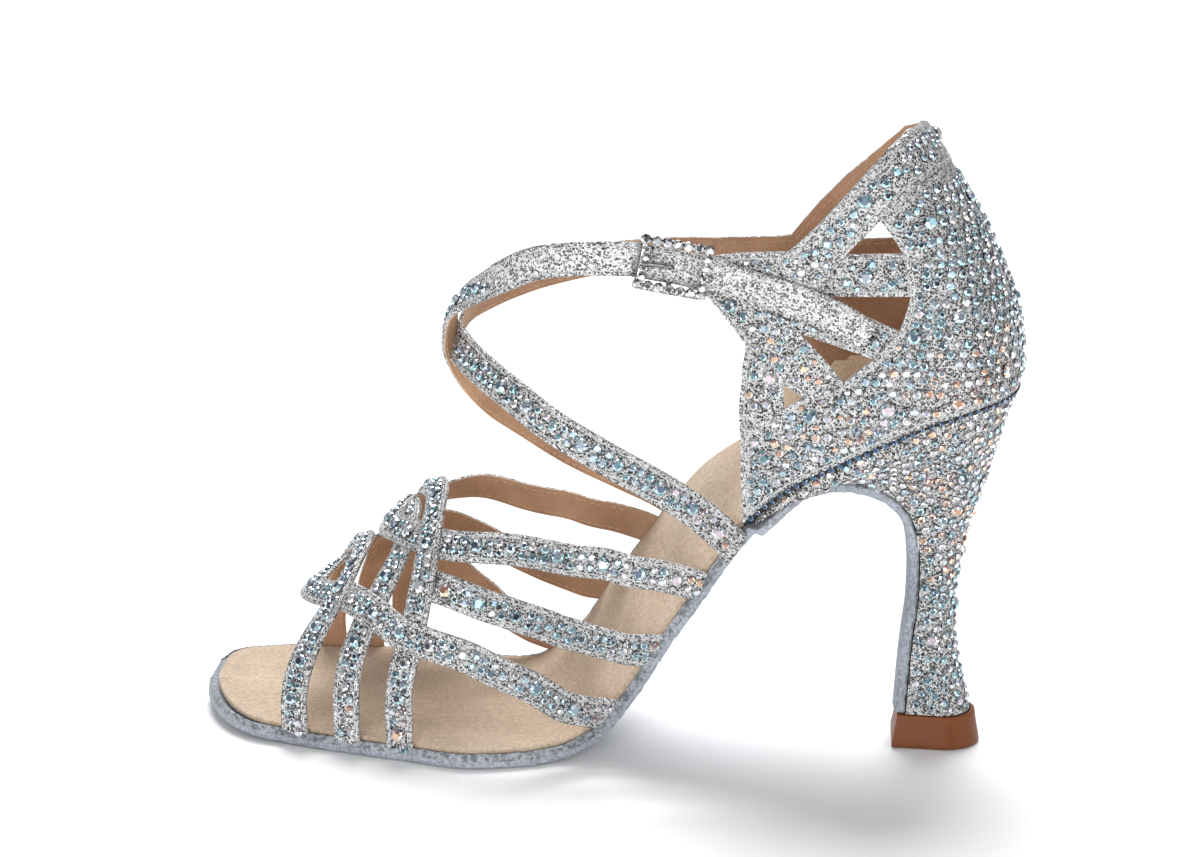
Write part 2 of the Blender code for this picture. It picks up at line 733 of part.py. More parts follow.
def quarter_outline():
    """Flat pattern's outer edge, as way round and height."""
    half = {}
    for side, name in ((-1, "lateral"), (1, "medial")):
        rows = [(wrap_at(a, float(up_z(u)), side), float(up_z(u)))
                for a, u in zip(COLLAR_EDGE["along"], COLLAR_EDGE[name])]
        foot = float(np.interp(float(along_x(FRONT_FOOT)), EDGES[side][:, 0], EDGES[side][:, 2]))
        rows.append((wrap_at(FRONT_FOOT, foot - INSOLE_THICKNESS, side), foot - INSOLE_THICKNESS))
        half[side] = rows
    reach = half[-1][-1][0]
    wraps = np.linspace(reach, half[1][-1][0], 34)[1:-1]
    lower = [(float(w), lower_edge_z(float(w))) for w in wraps]
    return [(0.0, float(up_z(2.0)))] + half[-1] + lower + half[1][::-1]


def cutout_outlines():
    """Cut-outs of both sides in the flat pattern."""
    outlines = []
    for side, name in ((-1, "lateral"), (1, "medial")):
        for corners in CUTOUTS[name]:
            outlines.append([(wrap_at(a, float(up_z(u)), side), float(up_z(u))) for a, u in corners])
    return outlines


def pattern_mesh(outline, holes, step):
    """Triangles of a flat pattern with holes, its edges cut to short runs."""
    loops = [subdivided(loop, step) for loop in [outline] + holes]
    points, edges = [], []
    for loop in loops:
        first = len(points)
        points += [Vector(point) for point in loop]
        edges += [(first + i, first + (i + 1) % len(loop)) for i in range(len(loop))]
    flat = np.array([tuple(point) for point in points])
    low, high = flat.min(axis=0), flat.max(axis=0)
    row = 0
    y = low[1] + step
    while y < high[1]:
        for x in np.arange(low[0] + step * (0.5 if row % 2 else 0.0), high[0], step):
            clear = np.min(np.linalg.norm(flat - (x, y), axis=1)) > 0.6 * step
            if clear and inside((x, y), loops[0]) and not any(inside((x, y), hole) for hole in loops[1:]):
                points.append(Vector((x, y)))
        y += step * math.sqrt(0.75)
        row += 1
    result = delaunay_2d_cdt(points, edges, [], 0, 1e-7)
    triangles = []
    for face in result[2]:
        middle = sum((result[0][i] for i in face), Vector((0.0, 0.0))) / len(face)
        if inside(middle, loops[0]) and not any(inside(middle, hole) for hole in loops[1:]):
            triangles.append(tuple(face))
    return result[0], triangles


def make_quarter():
    """Heel cup and wings: one hollow wall with its cut-outs."""
    flat, triangles = pattern_mesh(quarter_outline(), cutout_outlines(), 0.0056)
    used = sorted({i for face in triangles for i in face})
    index = {old: new for new, old in enumerate(used)}
    half_wall = 0.5 * QUARTER_WALL
    outer = [wall_point(flat[i][0], flat[i][1], half_wall) for i in used]
    inner = [wall_point(flat[i][0], flat[i][1], -half_wall) for i in used]
    count = len(used)
    faces = []
    borders = {}
    for face in triangles:
        a = [index[i] for i in face]
        faces.append(tuple(a))
        faces.append(tuple(i + count for i in reversed(a)))
        for i in range(3):
            edge = (a[i], a[(i + 1) % 3])
            borders[edge] = True
    for start, end in borders:
        if (end, start) not in borders:
            faces.append((end, start, start + count, end + count))
    return finish(mesh_object("quarter", outer + inner, faces))


def arch_point(along, angle):
    """Point on the vamp's arch: angle 0 at the lateral edge, 180 at the medial edge."""
    left, right = bed_edges(along, FIT + 0.5 * STRAP_THICKNESS + BAND_ROOM)
    middle = 0.5 * (left + right)
    base = middle[2] - INSOLE_THICKNESS
    turn = math.radians(angle)
    cosine, sine = math.cos(turn), math.sin(turn)
    out = math.copysign(abs(cosine) ** (2.0 / ARCH_POWER), cosine)
    lift = math.copysign(abs(sine) ** (2.0 / ARCH_POWER), sine)
    point = middle + (left - middle) * out
    ridge = 0.5 * TREAD_TOP + INSTEP_HEIGHT * float(RIDGE_UP(along))
    point[2] = base + (ridge - base) * (lift - RIDGE_FLATTENING * lift ** 6)
    return point


def arch_normal(along, angle):
    """Outward normal of the vamp's arch."""
    angle = min(176.0, max(4.0, angle))
    lengthwise = arch_point(along + 0.004, angle) - arch_point(along - 0.004, angle)
    round_arch = arch_point(along, angle + 1.5) - arch_point(along, angle - 1.5)
    return unit(np.cross(round_arch, lengthwise))


def ribbon(name, centres, normals, width, thickness):
    """Flat band along a line, its outer edges eased."""
    tangents = unit(np.gradient(centres, axis=0))
    normals = unit(normals - tangents * np.sum(normals * tangents, axis=1, keepdims=True))
    sides = np.cross(tangents, normals)
    half, top = 0.5 * width, 0.5 * thickness
    ease = 0.3 * thickness
    shape = ((-half, -top), (-half, top - ease), (-half + ease, top), (half - ease, top),
             (half, top - ease), (half, -top))
    rings = []
    for centre, side, normal in zip(centres, sides, normals):
        rings.append([centre + side * reach + normal * lift for reach, lift in shape])
    return loft(name, rings, paired_caps=False)


def band(name, table, width, count, whole):
    """A vamp band from its table: the lateral half, or both halves mirrored about the ridge."""
    along, angle, level = (list(table[key]) for key in ("along", "angle", "level"))
    if whole:
        along += along[-2::-1]
        angle += [180.0 - value for value in angle[-2::-1]]
        level += level[-2::-1]
    rows = np.stack((along, np.array(angle) / 90.0, level), axis=1)
    places = spline(rows, 12 * len(along))
    points = np.array([arch_point(row[0], row[1] * 90.0) for row in places])
    line = even(np.hstack((points, places)), count)
    normals = np.array([arch_normal(row[3], row[4] * 90.0) for row in line])
    centres = line[:, :3] + normals * (line[:, 5:6] * WEAVE_STEP)
    return ribbon(name, centres, normals, width, STRAP_THICKNESS)


def sole_cutter():
    """Everything below the level where straps meet the outsole's margin."""
    rings = []
    for along in bed_places(0.999, 0.24, 48):
        left, right = bed_edges(along, 0.012)
        normal = bed_normal(along)
        drop = normal * INSOLE_THICKNESS
        rings.append(slab_section(left - drop, right - drop, normal, 0.012))
    return loft("sole_cutter", rings)


def make_vamp():
    """Woven vamp: three cross bands, two V bands and two short bands in one wall."""
    vamp = band("vamp", CROSS_BANDS["rear"], CROSS_BAND_WIDTH, 36, True)
    others = [band("cross_band", CROSS_BANDS[name], CROSS_BAND_WIDTH, 36, True)
              for name in ("front", "middle")]
    others += [band("v_band", V_BANDS[name], SIDE_BAND_WIDTH, 50, True) for name in ("front", "rear")]
    others.append(band("short_band", SHORT_BAND, SIDE_BAND_WIDTH, 18, False))
    mirrored = dict(SHORT_BAND)
    mirrored["angle"] = [180.0 - value for value in SHORT_BAND["angle"]]
    others.append(band("short_band", mirrored, SIDE_BAND_WIDTH, 18, False))
    for other in others:
        boolean(vamp, other, "UNION")
    boolean(vamp, sole_cutter(), "DIFFERENCE")
    keep_main_body(vamp)
    return finish(vamp)


def wall_normal(wrap, z):
    """Outward normal of the quarter."""
    step = 0.001
    round_wall = wall_point(wrap + step, z) - wall_point(wrap - step, z)
    upwards = wall_point(wrap, z + step) - wall_point(wrap, z - step)
    return unit(np.cross(round_wall, upwards))


def strap_normals(centres):
    """Outward normals of a strap that goes round the instep."""
    spine_x = np.clip(centres[:, 0], float(along_x(SPINE_FRONT)), float(along_x(SPINE_BACK)))
    away = np.stack((centres[:, 0] - spine_x, centres[:, 1] - SPINE_ACROSS * BALL_WIDTH,
                     np.zeros(len(centres))), axis=1)
    away = unit(away)
    away[:, 2] = STRAP_LEAN + FRONT_LEAN * np.abs(away[:, 0])
    return unit(away)


def strap_rows(table):
    """Places and normals of a strap's table."""
    places = np.stack((along_x(table["along"]), np.array(table["across"]) * BALL_WIDTH,
                       up_z(table["up"])), axis=1)
    return np.hstack((places, strap_normals(places)))


def lapped_row(along, up, side):
    """Place and normal of a strap that lies on the quarter's outer face."""
    lap = 0.5 * QUARTER_WALL + FIT + 0.5 * STRAP_THICKNESS
    z = float(up_z(up))
    wrap = wrap_at(along, z, side)
    normal = wall_normal(wrap, z)
    return np.concatenate((wall_point(wrap, z) + normal * lap, normal))


def make_instep_strap():
    """Strap from the lateral sole edge, inside the ankle strap, onto the medial wing."""
    rows = strap_rows(INSTEP_STRAP)
    for along, up in WING_LAP:
        rows = np.vstack((rows, lapped_row(along, up, 1)))
    line = spline(rows, 52)
    strap = ribbon("instep_strap", line[:, :3], line[:, 3:], ANKLE_STRAP_WIDTH, STRAP_THICKNESS)
    boolean(strap, sole_cutter(), "DIFFERENCE")
    return finish(strap)


def buckle_ends():
    """Strap rows where it enters the buckle and where it reaches the quarter behind it."""
    entry = strap_rows({name: ANKLE_STRAP[name][-1:] for name in ANKLE_STRAP})[0]
    leave = lapped_row(STRAP_TAIL["along"][0], STRAP_TAIL["up"][0], -1)
    return entry, leave


def ankle_strap_line(count):
    """Middle line and normals of the ankle strap; it runs straight through the buckle."""
    rows = strap_rows(ANKLE_STRAP)
    entry, leave = buckle_ends()
    for share in (0.06, 0.5, 0.94):
        rows = np.vstack((rows, entry + (leave - entry) * share))
    for along, up in zip(STRAP_TAIL["along"], STRAP_TAIL["up"]):
        rows = np.vstack((rows, lapped_row(along, up, -1)))
    return spline(rows, count)


def buckle_frame():
    """Middle, tangent, upward side and outward normal of the strap at the buckle."""
    entry, leave = buckle_ends()
    middle = 0.5 * (entry + leave)
    tangent = unit(leave[:3] - entry[:3])
    normal = unit(middle[3:] - tangent * np.dot(middle[3:], tangent))
    side = np.cross(tangent, normal)
    if side[2] < 0.0:
        side = -side
    return middle[:3], tangent, side, normal


def framed_box(name, frame, low, high):
    """A box given by its two corners in the buckle's own directions."""
    middle, tangent, side, normal = frame
    corners = []
    for n in (low[2], high[2]):
        for t, s in ((low[0], low[1]), (high[0], low[1]), (high[0], high[1]), (low[0], high[1])):
            corners.append(middle + tangent * t + side * s + normal * n)
    faces = [(0, 1, 2, 3), (7, 6, 5, 4), (0, 4, 5, 1), (1, 5, 6, 2), (2, 6, 7, 3), (3, 7, 4, 0)]
    return mesh_object(name, corners, faces)


def make_buckle(frame):
    """Rectangular frame with a middle bar behind the strap."""
    reach = 0.5 * BUCKLE_LENGTH
    inner = 0.5 * ANKLE_STRAP_WIDTH + BUCKLE_ROOM
    outer = inner + BUCKLE_BAR
    front = 0.5 * STRAP_THICKNESS + FIT
    top = front + BUCKLE_BAR
    back = -0.5 * STRAP_THICKNESS - FIT - BUCKLE_BAR
    buckle = framed_box("buckle", frame, (-reach, -outer, front), (reach, outer, top))
    room = framed_box("room", frame, (-reach + BUCKLE_BAR, -inner, front - 0.001),
                      (reach - BUCKLE_BAR, inner, top + 0.001))
    boolean(buckle, room, "DIFFERENCE")
    half_bar = 0.5 * BUCKLE_BAR
    for side in (-1, 1):
        low, high = sorted((side * (inner + 0.0001), side * (outer - 0.0001)))
        post = framed_box("post", frame, (-half_bar, low, back), (half_bar, high, front + half_bar))
        boolean(buckle, post, "UNION")
    bar = framed_box("bar", frame, (-half_bar + 0.0001, -outer + 0.0005, back + 0.0001),
                     (half_bar - 0.0001, outer - 0.0005, back + BUCKLE_BAR - 0.0001))
    boolean(buckle, bar, "UNION")
    bevel = buckle.modifiers.new("bevel", "BEVEL")
    bevel.width = 0.0003
    bevel.segments = 2
    bevel.limit_method = "ANGLE"
    return finish(buckle)


def prong_path(frame):
    """Line of the prong: out through the strap's hole, then forward over the frame."""
    middle, tangent, _, normal = frame
    lift = 0.5 * STRAP_THICKNESS + FIT + 0.5 * PRONG_DIAMETER
    over = 0.5 * STRAP_THICKNESS + 2.0 * FIT + BUCKLE_BAR + 0.5 * PRONG_DIAMETER
    reach = 0.5 * BUCKLE_LENGTH
    rows = [(0.0, -0.5 * STRAP_THICKNESS), (0.0, 0.4 * lift), (-0.06 * reach, lift),
            (-0.35 * reach, lift + 0.0004), (-0.75 * reach, over), (-1.02 * reach, over)]
    return spline([middle + tangent * t + normal * n for t, n in rows], 12)


def make_prong(frame):
    """Round pin of the buckle."""
    path = prong_path(frame)
    tangents = unit(np.gradient(path, axis=0))
    side = frame[2]
    rings = []
    for place, tangent in zip(path, tangents):
        other = np.cross(tangent, side)
        turns = np.linspace(0.0, 2.0 * math.pi, 10, endpoint=False)
        rings.append([place + 0.5 * PRONG_DIAMETER * (side * math.cos(t) + other * math.sin(t)) for t in turns])
    return finish(loft("buckle_prong", rings, paired_caps=False))


def make_tab(frame):
    """Tab between the buckle's middle bar and the lateral wing."""
    middle, tangent, side, normal = frame
    under = 0.5 * STRAP_THICKNESS + FIT + BUCKLE_BAR + FIT + 0.5 * STRAP_THICKNESS
    wing_z = float(up_z(TAB_END[1]))
    wing = wall_point(wrap_at(TAB_END[0], wing_z, -1), wing_z)
    start = middle - normal * under - tangent * BUCKLE_BAR
    direction = unit(wing - start)
    end = wing - direction * (FIT * 2.0)
    rows = [start, start + (end - start) * 0.5, end]
    centres = spline(rows, 8)
    normals = np.repeat(normal[None, :], len(centres), axis=0)
    return finish(ribbon("buckle_tab", centres, normals, TAB_WIDTH, STRAP_THICKNESS))


def make_ankle_strap(line, frame):
    """Strap from the medial sole edge through the buckle, with a hole for the prong."""
    strap = ribbon("ankle_strap", line[:, :3], line[:, 3:], ANKLE_STRAP_WIDTH, STRAP_THICKNESS)
    boolean(strap, sole_cutter(), "DIFFERENCE")
    middle, tangent, side, normal = frame
    turns = np.linspace(0.0, 2.0 * math.pi, 16, endpoint=False)
    rings = []
    for depth in (-2.0 * STRAP_THICKNESS, 2.0 * STRAP_THICKNESS):
        rings.append([middle + normal * depth + 0.5 * PRONG_HOLE * (tangent * math.cos(t) + side * math.sin(t))
                      for t in turns])
    boolean(strap, loft("hole", rings, paired_caps=False), "DIFFERENCE")
    return finish(strap)


def main():
    for old in list(bpy.data.objects):
        bpy.data.objects.remove(old)
    make_outsole()
    make_insole()
    make_heel()
    make_heel_tip()
    make_quarter()
    make_vamp()
    make_instep_strap()
    line = ankle_strap_line(92)
    frame = buckle_frame()
    make_ankle_strap(line, frame)
    make_buckle(frame)
    make_prong(frame)
    make_tab(frame)


main()
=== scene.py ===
"""Looks of the ballroom dance sandal: glitter cloth, crystal stones, suede and lining.

Metres, +Z up, toe towards -X, outer side towards -Y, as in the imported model.
"""
import json
import math
import random

import bmesh
import bpy
import numpy as np
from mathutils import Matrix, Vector
from mathutils.bvhtree import BVHTree
from mathutils.geometry import delaunay_2d_cdt

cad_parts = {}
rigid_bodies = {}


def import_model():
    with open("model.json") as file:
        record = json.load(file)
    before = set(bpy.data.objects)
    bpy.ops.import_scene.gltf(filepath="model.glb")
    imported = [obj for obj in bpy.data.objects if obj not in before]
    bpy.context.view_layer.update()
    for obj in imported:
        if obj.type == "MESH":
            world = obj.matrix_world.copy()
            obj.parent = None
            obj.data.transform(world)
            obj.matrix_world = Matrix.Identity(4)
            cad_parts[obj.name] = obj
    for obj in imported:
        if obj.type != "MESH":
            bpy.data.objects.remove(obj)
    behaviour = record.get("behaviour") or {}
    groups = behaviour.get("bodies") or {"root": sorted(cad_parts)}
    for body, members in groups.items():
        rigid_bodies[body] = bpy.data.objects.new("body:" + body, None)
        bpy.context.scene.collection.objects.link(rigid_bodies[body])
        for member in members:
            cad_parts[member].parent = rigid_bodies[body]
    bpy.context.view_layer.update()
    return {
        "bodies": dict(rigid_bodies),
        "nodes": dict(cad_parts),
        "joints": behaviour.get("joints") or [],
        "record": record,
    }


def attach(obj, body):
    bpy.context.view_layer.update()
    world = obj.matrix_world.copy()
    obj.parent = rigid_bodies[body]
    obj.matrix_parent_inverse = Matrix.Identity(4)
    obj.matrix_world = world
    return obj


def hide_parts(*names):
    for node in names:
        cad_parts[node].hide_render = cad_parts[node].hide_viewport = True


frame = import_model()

# The shoe's shape, with the same sizes and curves as the solids

# Footbed
BED_LENGTH = 0.2035
HEEL_END = 0.016
BALL_WIDTH = 0.0752
SEAT_RISE = 0.0910
TOE_ROUND = 0.10
HEEL_ROUND = 0.09

# Sole
INSOLE_THICKNESS = 0.0015
OUTSOLE_THICKNESS = 0.0026
SHANK_THICKNESS = 0.0020
FLAP_THICKNESS = 0.0022
SOLE_MARGIN = 0.0022
FLAP_INSET = 0.0004
FLAP_BULGE = 0.0008

# Heel
SEAT_WIDTH = 0.0550
HEEL_WAIST_WIDTH = 0.0132
HEEL_FOOT_WIDTH = 0.0160
TIP_HEIGHT = 0.0084
TIP_FRONT = 0.0112
TIP_BACK = 0.0110
TIP_FLARE = 0.0012

# Upper
COLLAR_RISE = 0.063
ANKLE_WIDTH = 0.0455
QUARTER_WALL = 0.0016
BACK_ROUND = 0.0205
STRAP_THICKNESS = 0.0013
CROSS_BAND_WIDTH = 0.0072
SIDE_BAND_WIDTH = 0.0080
ANKLE_STRAP_WIDTH = 0.0082
INSTEP_HEIGHT = 0.108

# Buckle
BUCKLE_LENGTH = 0.0170
BUCKLE_BAR = 0.0016
BUCKLE_ROOM = 0.0008
PRONG_DIAMETER = 0.0010
TAB_WIDTH = 0.0080

FIT = 0.0003
BAND_ROOM = 0.0005
TREAD_TOP = OUTSOLE_THICKNESS + FIT + INSOLE_THICKNESS
SEAT_TOP = TREAD_TOP + SEAT_RISE

# The two sides of the shoe and their names in the tables
SIDES = ((-1, "lateral"), (1, "medial"))

# Footbed sections from heel to toe: height, skew of the section line, and both edges
BED = {
    "along":   (0.000, 0.040, 0.088, 0.157, 0.226, 0.290, 0.339, 0.378, 0.415,
                0.453, 0.494, 0.543, 0.575, 0.619, 0.678, 0.747, 0.816, 0.890, 0.946, 1.000),
    "up":      (1.000, 0.990, 0.960, 0.898, 0.828, 0.758, 0.676, 0.566, 0.438,
                0.305, 0.147, 0.030, 0.006, 0.000, 0.000, 0.000, 0.000, 0.005, 0.014, 0.037),
    "skew":    (0.00, 0.00, 0.00, 0.03, 0.10, 0.20, 0.28, 0.31, 0.31,
                0.30, 0.28, 0.28, 0.28, 0.25, 0.18, 0.12, 0.06, 0.00, 0.00, 0.00),
    "lateral": (0.338, 0.338, 0.340, 0.350, 0.332, 0.306, 0.286, 0.273, 0.266,
                0.263, 0.262, 0.276, 0.307, 0.357, 0.390, 0.334, 0.275, 0.208, 0.168, 0.115),
    "medial":  (0.338, 0.338, 0.340, 0.350, 0.332, 0.312, 0.303, 0.306, 0.326,
                0.359, 0.412, 0.479, 0.525, 0.572, 0.598, 0.612, 0.606, 0.585, 0.590, 0.645),
}

# Front end of the heel seat in the table above
SEAT_FRONT = 0.290

# Outer face of the suede from the shank, over the arch and down the heel's breast
BREAST = {
    "along": (0.325, 0.299, 0.270, 0.240, 0.211, 0.185, 0.159, 0.139, 0.127,
              0.121, 0.121, 0.125, 0.129, 0.133),
    "up":    (0.607, 0.638, 0.674, 0.703, 0.713, 0.705, 0.683, 0.645, 0.590,
              0.496, 0.374, 0.291, 0.191, 0.044),
}

# Front end of the heel block under the seat, and where the sole's skew ends on the breast
HEEL_FRONT = 0.304
SKEW_FADE = 0.20

# Heel rings from the seat down: place on the breast, place of the back, widths
HEEL = {
    "breast": (0.00, 0.03, 0.16, 0.28, 0.38, 0.46, 0.53, 0.62, 0.73, 0.82, 0.91, 0.97, 1.00),
    "back":   (-0.003, 0.003, 0.009, 0.018, 0.025, 0.034, 0.045, 0.054, 0.060, 0.060,
               0.054, 0.044, 0.036),
    "up":     (0.978, 0.945, 0.896, 0.819, 0.749, 0.680, 0.600, 0.489, 0.373, 0.295,
               0.198, 0.100, 0.038),
    "width":  (1.00, 0.99, 0.90, 0.74, 0.57, 0.42, 0.29, 0.16, 0.03, 0.00,
               0.02, 0.05, 0.07),
    "column": (0.0, 0.0, 0.1, 0.3, 0.5, 0.75, 1.0, 1.0, 1.0, 1.0, 1.0, 1.0, 1.0),
}

# Back line of the quarter
BACK = {
    "up":    (0.95, 1.05, 1.14, 1.23, 1.33, 1.43, 1.54, 1.65, 1.77, 1.87, 1.95, 2.02),
    "along": (-0.008, -0.012, -0.012, -0.008, 0.000, 0.012, 0.027, 0.044, 0.067, 0.085,
              0.101, 0.116),
}

# Quarter's edge on one side, from the back of the collar to the sole
COLLAR_EDGE = {
    "along":   (0.130, 0.152, 0.180, 0.207, 0.235, 0.256, 0.270, 0.289, 0.332, 0.357, 0.372, 0.345,
                0.319, 0.323, 0.325, 0.323),
    "lateral": (2.000, 1.952, 1.868, 1.766, 1.664, 1.597, 1.556, 1.553, 1.546, 1.532, 1.406, 1.300,
                1.195, 1.090, 0.986, 0.847),
    "medial":  (1.935, 1.864, 1.782, 1.706, 1.611, 1.528, 1.470, 1.463, 1.459, 1.457, 1.390, 1.300,
                1.195, 1.090, 0.986, 0.847),
}
FRONT_FOOT = 0.320

# Cut-outs of each side, as corners
CUTOUTS = {
    "lateral": (
        ((0.164, 1.683), (0.137, 1.560), (0.204, 1.551)),
        ((0.235, 1.390), (0.127, 1.400), (0.139, 1.268)),
        ((0.256, 1.246), (0.168, 1.159), (0.203, 1.062)),
        ((0.273, 1.041), (0.249, 0.998), (0.272, 0.963)),
    ),
    "medial": (
        ((0.167, 1.590), (0.137, 1.462), (0.204, 1.452)),
        ((0.235, 1.325), (0.127, 1.335), (0.139, 1.240)),
        ((0.256, 1.147), (0.168, 1.060), (0.203, 1.013)),
        ((0.273, 1.041), (0.249, 0.998), (0.272, 0.963)),
    ),
}

# Height of the vamp's ridge above the tread, as a share of the instep height
RIDGE = {
    "along": (0.264, 0.422, 0.555, 0.690, 0.783, 0.865, 0.953, 1.000),
    "up":    (1.14, 1.000, 0.815, 0.606, 0.458, 0.315, 0.222, 0.13),
}

# Roundness of the vamp's arch, and how much its ridge is flattened
ARCH_POWER = 2.1
RIDGE_FLATTENING = 0.10

# Vamp bands on the lateral half: place along, angle round the arch, weave level
CROSS_BANDS = {
    "front": {
        "along": (0.871, 0.874, 0.868, 0.855, 0.841, 0.823, 0.810, 0.800),
        "angle": (-6, 14, 28, 39, 48, 58, 72, 90),
        "level": (0.0, 0.0, 0.3, 1.0, 1.0, 1.0, 0.6, 0.4),
    },
    "middle": {
        "along": (0.810, 0.811, 0.809, 0.803, 0.788, 0.774, 0.760, 0.746, 0.739),
        "angle": (-6, 14, 22, 30, 40, 47, 55, 66, 90),
        "level": (0.0, 0.0, -0.5, -1.0, -1.0, -1.0, -1.0, -1.0, -1.0),
    },
    "rear": {
        "along": (0.749, 0.751, 0.749, 0.740, 0.728, 0.719, 0.713, 0.707, 0.700),
        "angle": (-6, 10, 18, 26, 37, 46, 56, 70, 90),
        "level": (0.0, 0.0, -0.7, -1.0, 0.2, 1.0, 1.0, 0.6, 0.4),
    },
}
V_BANDS = {
    "front": {
        "along": (0.487, 0.524, 0.571, 0.608, 0.641, 0.681, 0.715, 0.748, 0.771, 0.799,
                  0.832, 0.857, 0.871),
        "angle": (-4, 2, 7, 12, 16, 22, 26, 31, 38, 48, 63, 76, 90),
        "level": (0.0, 0.0, 0.0, 0.2, 0.6, 1.0, 1.0, 1.0, 1.0, 0.4, -1.0, -0.4, 0.0),
    },
    "rear": {
        "along": (0.381, 0.412, 0.459, 0.513, 0.571, 0.619, 0.658, 0.695, 0.718, 0.743, 0.761),
        "angle": (-8, 2, 14, 26, 34, 41, 47, 54, 61, 73, 90),
        "level": (0.0, 0.0, 0.0, 0.0, 0.0, -0.2, -0.8, -1.0, -0.4, 1.0, 1.0),
    },
}
SHORT_BAND = {
    "along": (0.431, 0.462, 0.494, 0.532, 0.579, 0.625, 0.658, 0.696, 0.712),
    "angle": (-6, 1, 8, 15, 21, 27, 32, 39, 42),
    "level": (0.0, 0.0, 0.0, 0.0, 0.0, -0.2, -0.6, -1.0, -1.0),
}

# Straps over the instep: middle line, from the sole edge to the wing or buckle
INSTEP_STRAP = {
    "along":  (0.312, 0.332, 0.365, 0.407, 0.487, 0.553, 0.597, 0.636, 0.656, 0.648, 0.628,
               0.605, 0.571, 0.509, 0.446, 0.401),
    "up":     (0.530, 0.588, 0.660, 0.729, 0.829, 0.905, 0.963, 1.022, 1.080, 1.170, 1.225,
               1.268, 1.310, 1.352, 1.375, 1.384),
    "across": (-0.320, -0.318, -0.330, -0.345, -0.345, -0.293, -0.200, -0.040, 0.080, 0.150, 0.200,
               0.253, 0.306, 0.340, 0.346, 0.346),
}
ANKLE_STRAP = {
    "along":  (0.396, 0.433, 0.484, 0.545, 0.602, 0.636, 0.662, 0.680, 0.686, 0.681,
               0.665, 0.637, 0.608, 0.566, 0.513, 0.452),
    "up":     (0.510, 0.560, 0.610, 0.675, 0.770, 0.840, 0.925, 1.020, 1.110, 1.210,
               1.285, 1.350, 1.413, 1.483, 1.519, 1.530),
    "across": (0.345, 0.360, 0.372, 0.372, 0.319, 0.255, 0.175, 0.105, 0.060, 0.015,
               -0.045, -0.110, -0.173, -0.253, -0.319, -0.352),
}
STRAP_TAIL = {
    "along": (0.357, 0.335, 0.294, 0.256, 0.213, 0.173),
    "up":    (1.470, 1.442, 1.405, 1.370, 1.315, 1.240),
}

# Where the instep strap's end lies on the medial wing
WING_LAP = ((0.360, 1.384), (0.340, 1.384))

# Where the buckle's tab meets the lateral wing
TAB_END = (0.3655, 1.455)

# Line inside the instep that the two straps turn round, and their outward lean
SPINE_FRONT = 0.57
SPINE_BACK = 0.26
SPINE_ACROSS = 0.04
STRAP_LEAN = 0.15
FRONT_LEAN = 0.50


def smooth(xs, ys):
    """A smooth curve through a table's rows that doesn't overshoot them."""
    xs = np.array(xs, float)
    ys = np.array(ys, float)
    order = np.argsort(xs)
    xs, ys = xs[order], ys[order]
    steps = np.diff(xs)
    rises = np.diff(ys) / steps
    slopes = np.concatenate(([rises[0]], 0.5 * (rises[:-1] + rises[1:]), [rises[-1]]))
    for i in range(1, len(xs) - 1):
        before, after = rises[i - 1], rises[i]
        slopes[i] = 2.0 * before * after / (before + after) if before * after > 0.0 else 0.0

    def curve(x):
        x = np.clip(np.asarray(x, float), xs[0], xs[-1])
        i = np.clip(np.searchsorted(xs, x) - 1, 0, len(steps) - 1)
        t = (x - xs[i]) / steps[i]
        t2, t3 = t * t, t * t * t
        return ((2 * t3 - 3 * t2 + 1) * ys[i] + (t3 - 2 * t2 + t) * steps[i] * slopes[i]
                + (3 * t2 - 2 * t3) * ys[i + 1] + (t3 - t2) * steps[i] * slopes[i + 1])

    return curve


def spline(rows, count):
    """Points evenly spaced on a smooth path through the rows, an array with a row a point."""
    rows = np.array(rows, float)
    padded = np.vstack((2 * rows[0] - rows[1], rows, 2 * rows[-1] - rows[-2]))
    fine = []
    for i in range(1, len(padded) - 2):
        before, start, end, after = padded[i - 1:i + 3]
        for t in np.linspace(0.0, 1.0, 24, endpoint=False):
            fine.append(0.5 * (2 * start + (end - before) * t
                               + (2 * before - 5 * start + 4 * end - after) * t ** 2
                               + (3 * start - before - 3 * end + after) * t ** 3))
    fine.append(rows[-1])
    return even(np.array(fine), count)


def path_lengths(points):
    """Way from a path's start to each of its points."""
    return np.concatenate(([0.0], np.cumsum(np.linalg.norm(np.diff(points, axis=0), axis=1))))


def values_at(wanted, places, rows):
    """Values of all columns of a table at one or more wanted places."""
    return np.stack([np.interp(wanted, places, column) for column in rows.T], axis=-1)


def even(points, count):
    """The same path with evenly spaced points; further columns are carried along."""
    places = path_lengths(points[:, :3])
    return values_at(np.linspace(0.0, places[-1], count), places, points)


def unit(vectors):
    """Vectors of length one."""
    return vectors / np.linalg.norm(vectors, axis=-1, keepdims=True)


def signed_power(value, power):
    """A power that keeps the value's sign."""
    return math.copysign(abs(value) ** power, value)


def circle(count, shift=0.0):
    """Cosines and sines of even turns, the first one a shift of so many steps on."""
    turns = [2.0 * math.pi * (k + shift) / count for k in range(count)]
    return [(math.cos(turn), math.sin(turn)) for turn in turns]


def along_x(along):
    """Lengthwise place of a share of the footbed."""
    return HEEL_END - np.asarray(along, float) * BED_LENGTH


def up_z(up):
    """Height of a share of the seat's and the collar's rise."""
    up = np.asarray(up, float)
    return TREAD_TOP + SEAT_RISE * np.minimum(up, 1.0) + COLLAR_RISE * np.maximum(up - 1.0, 0.0)


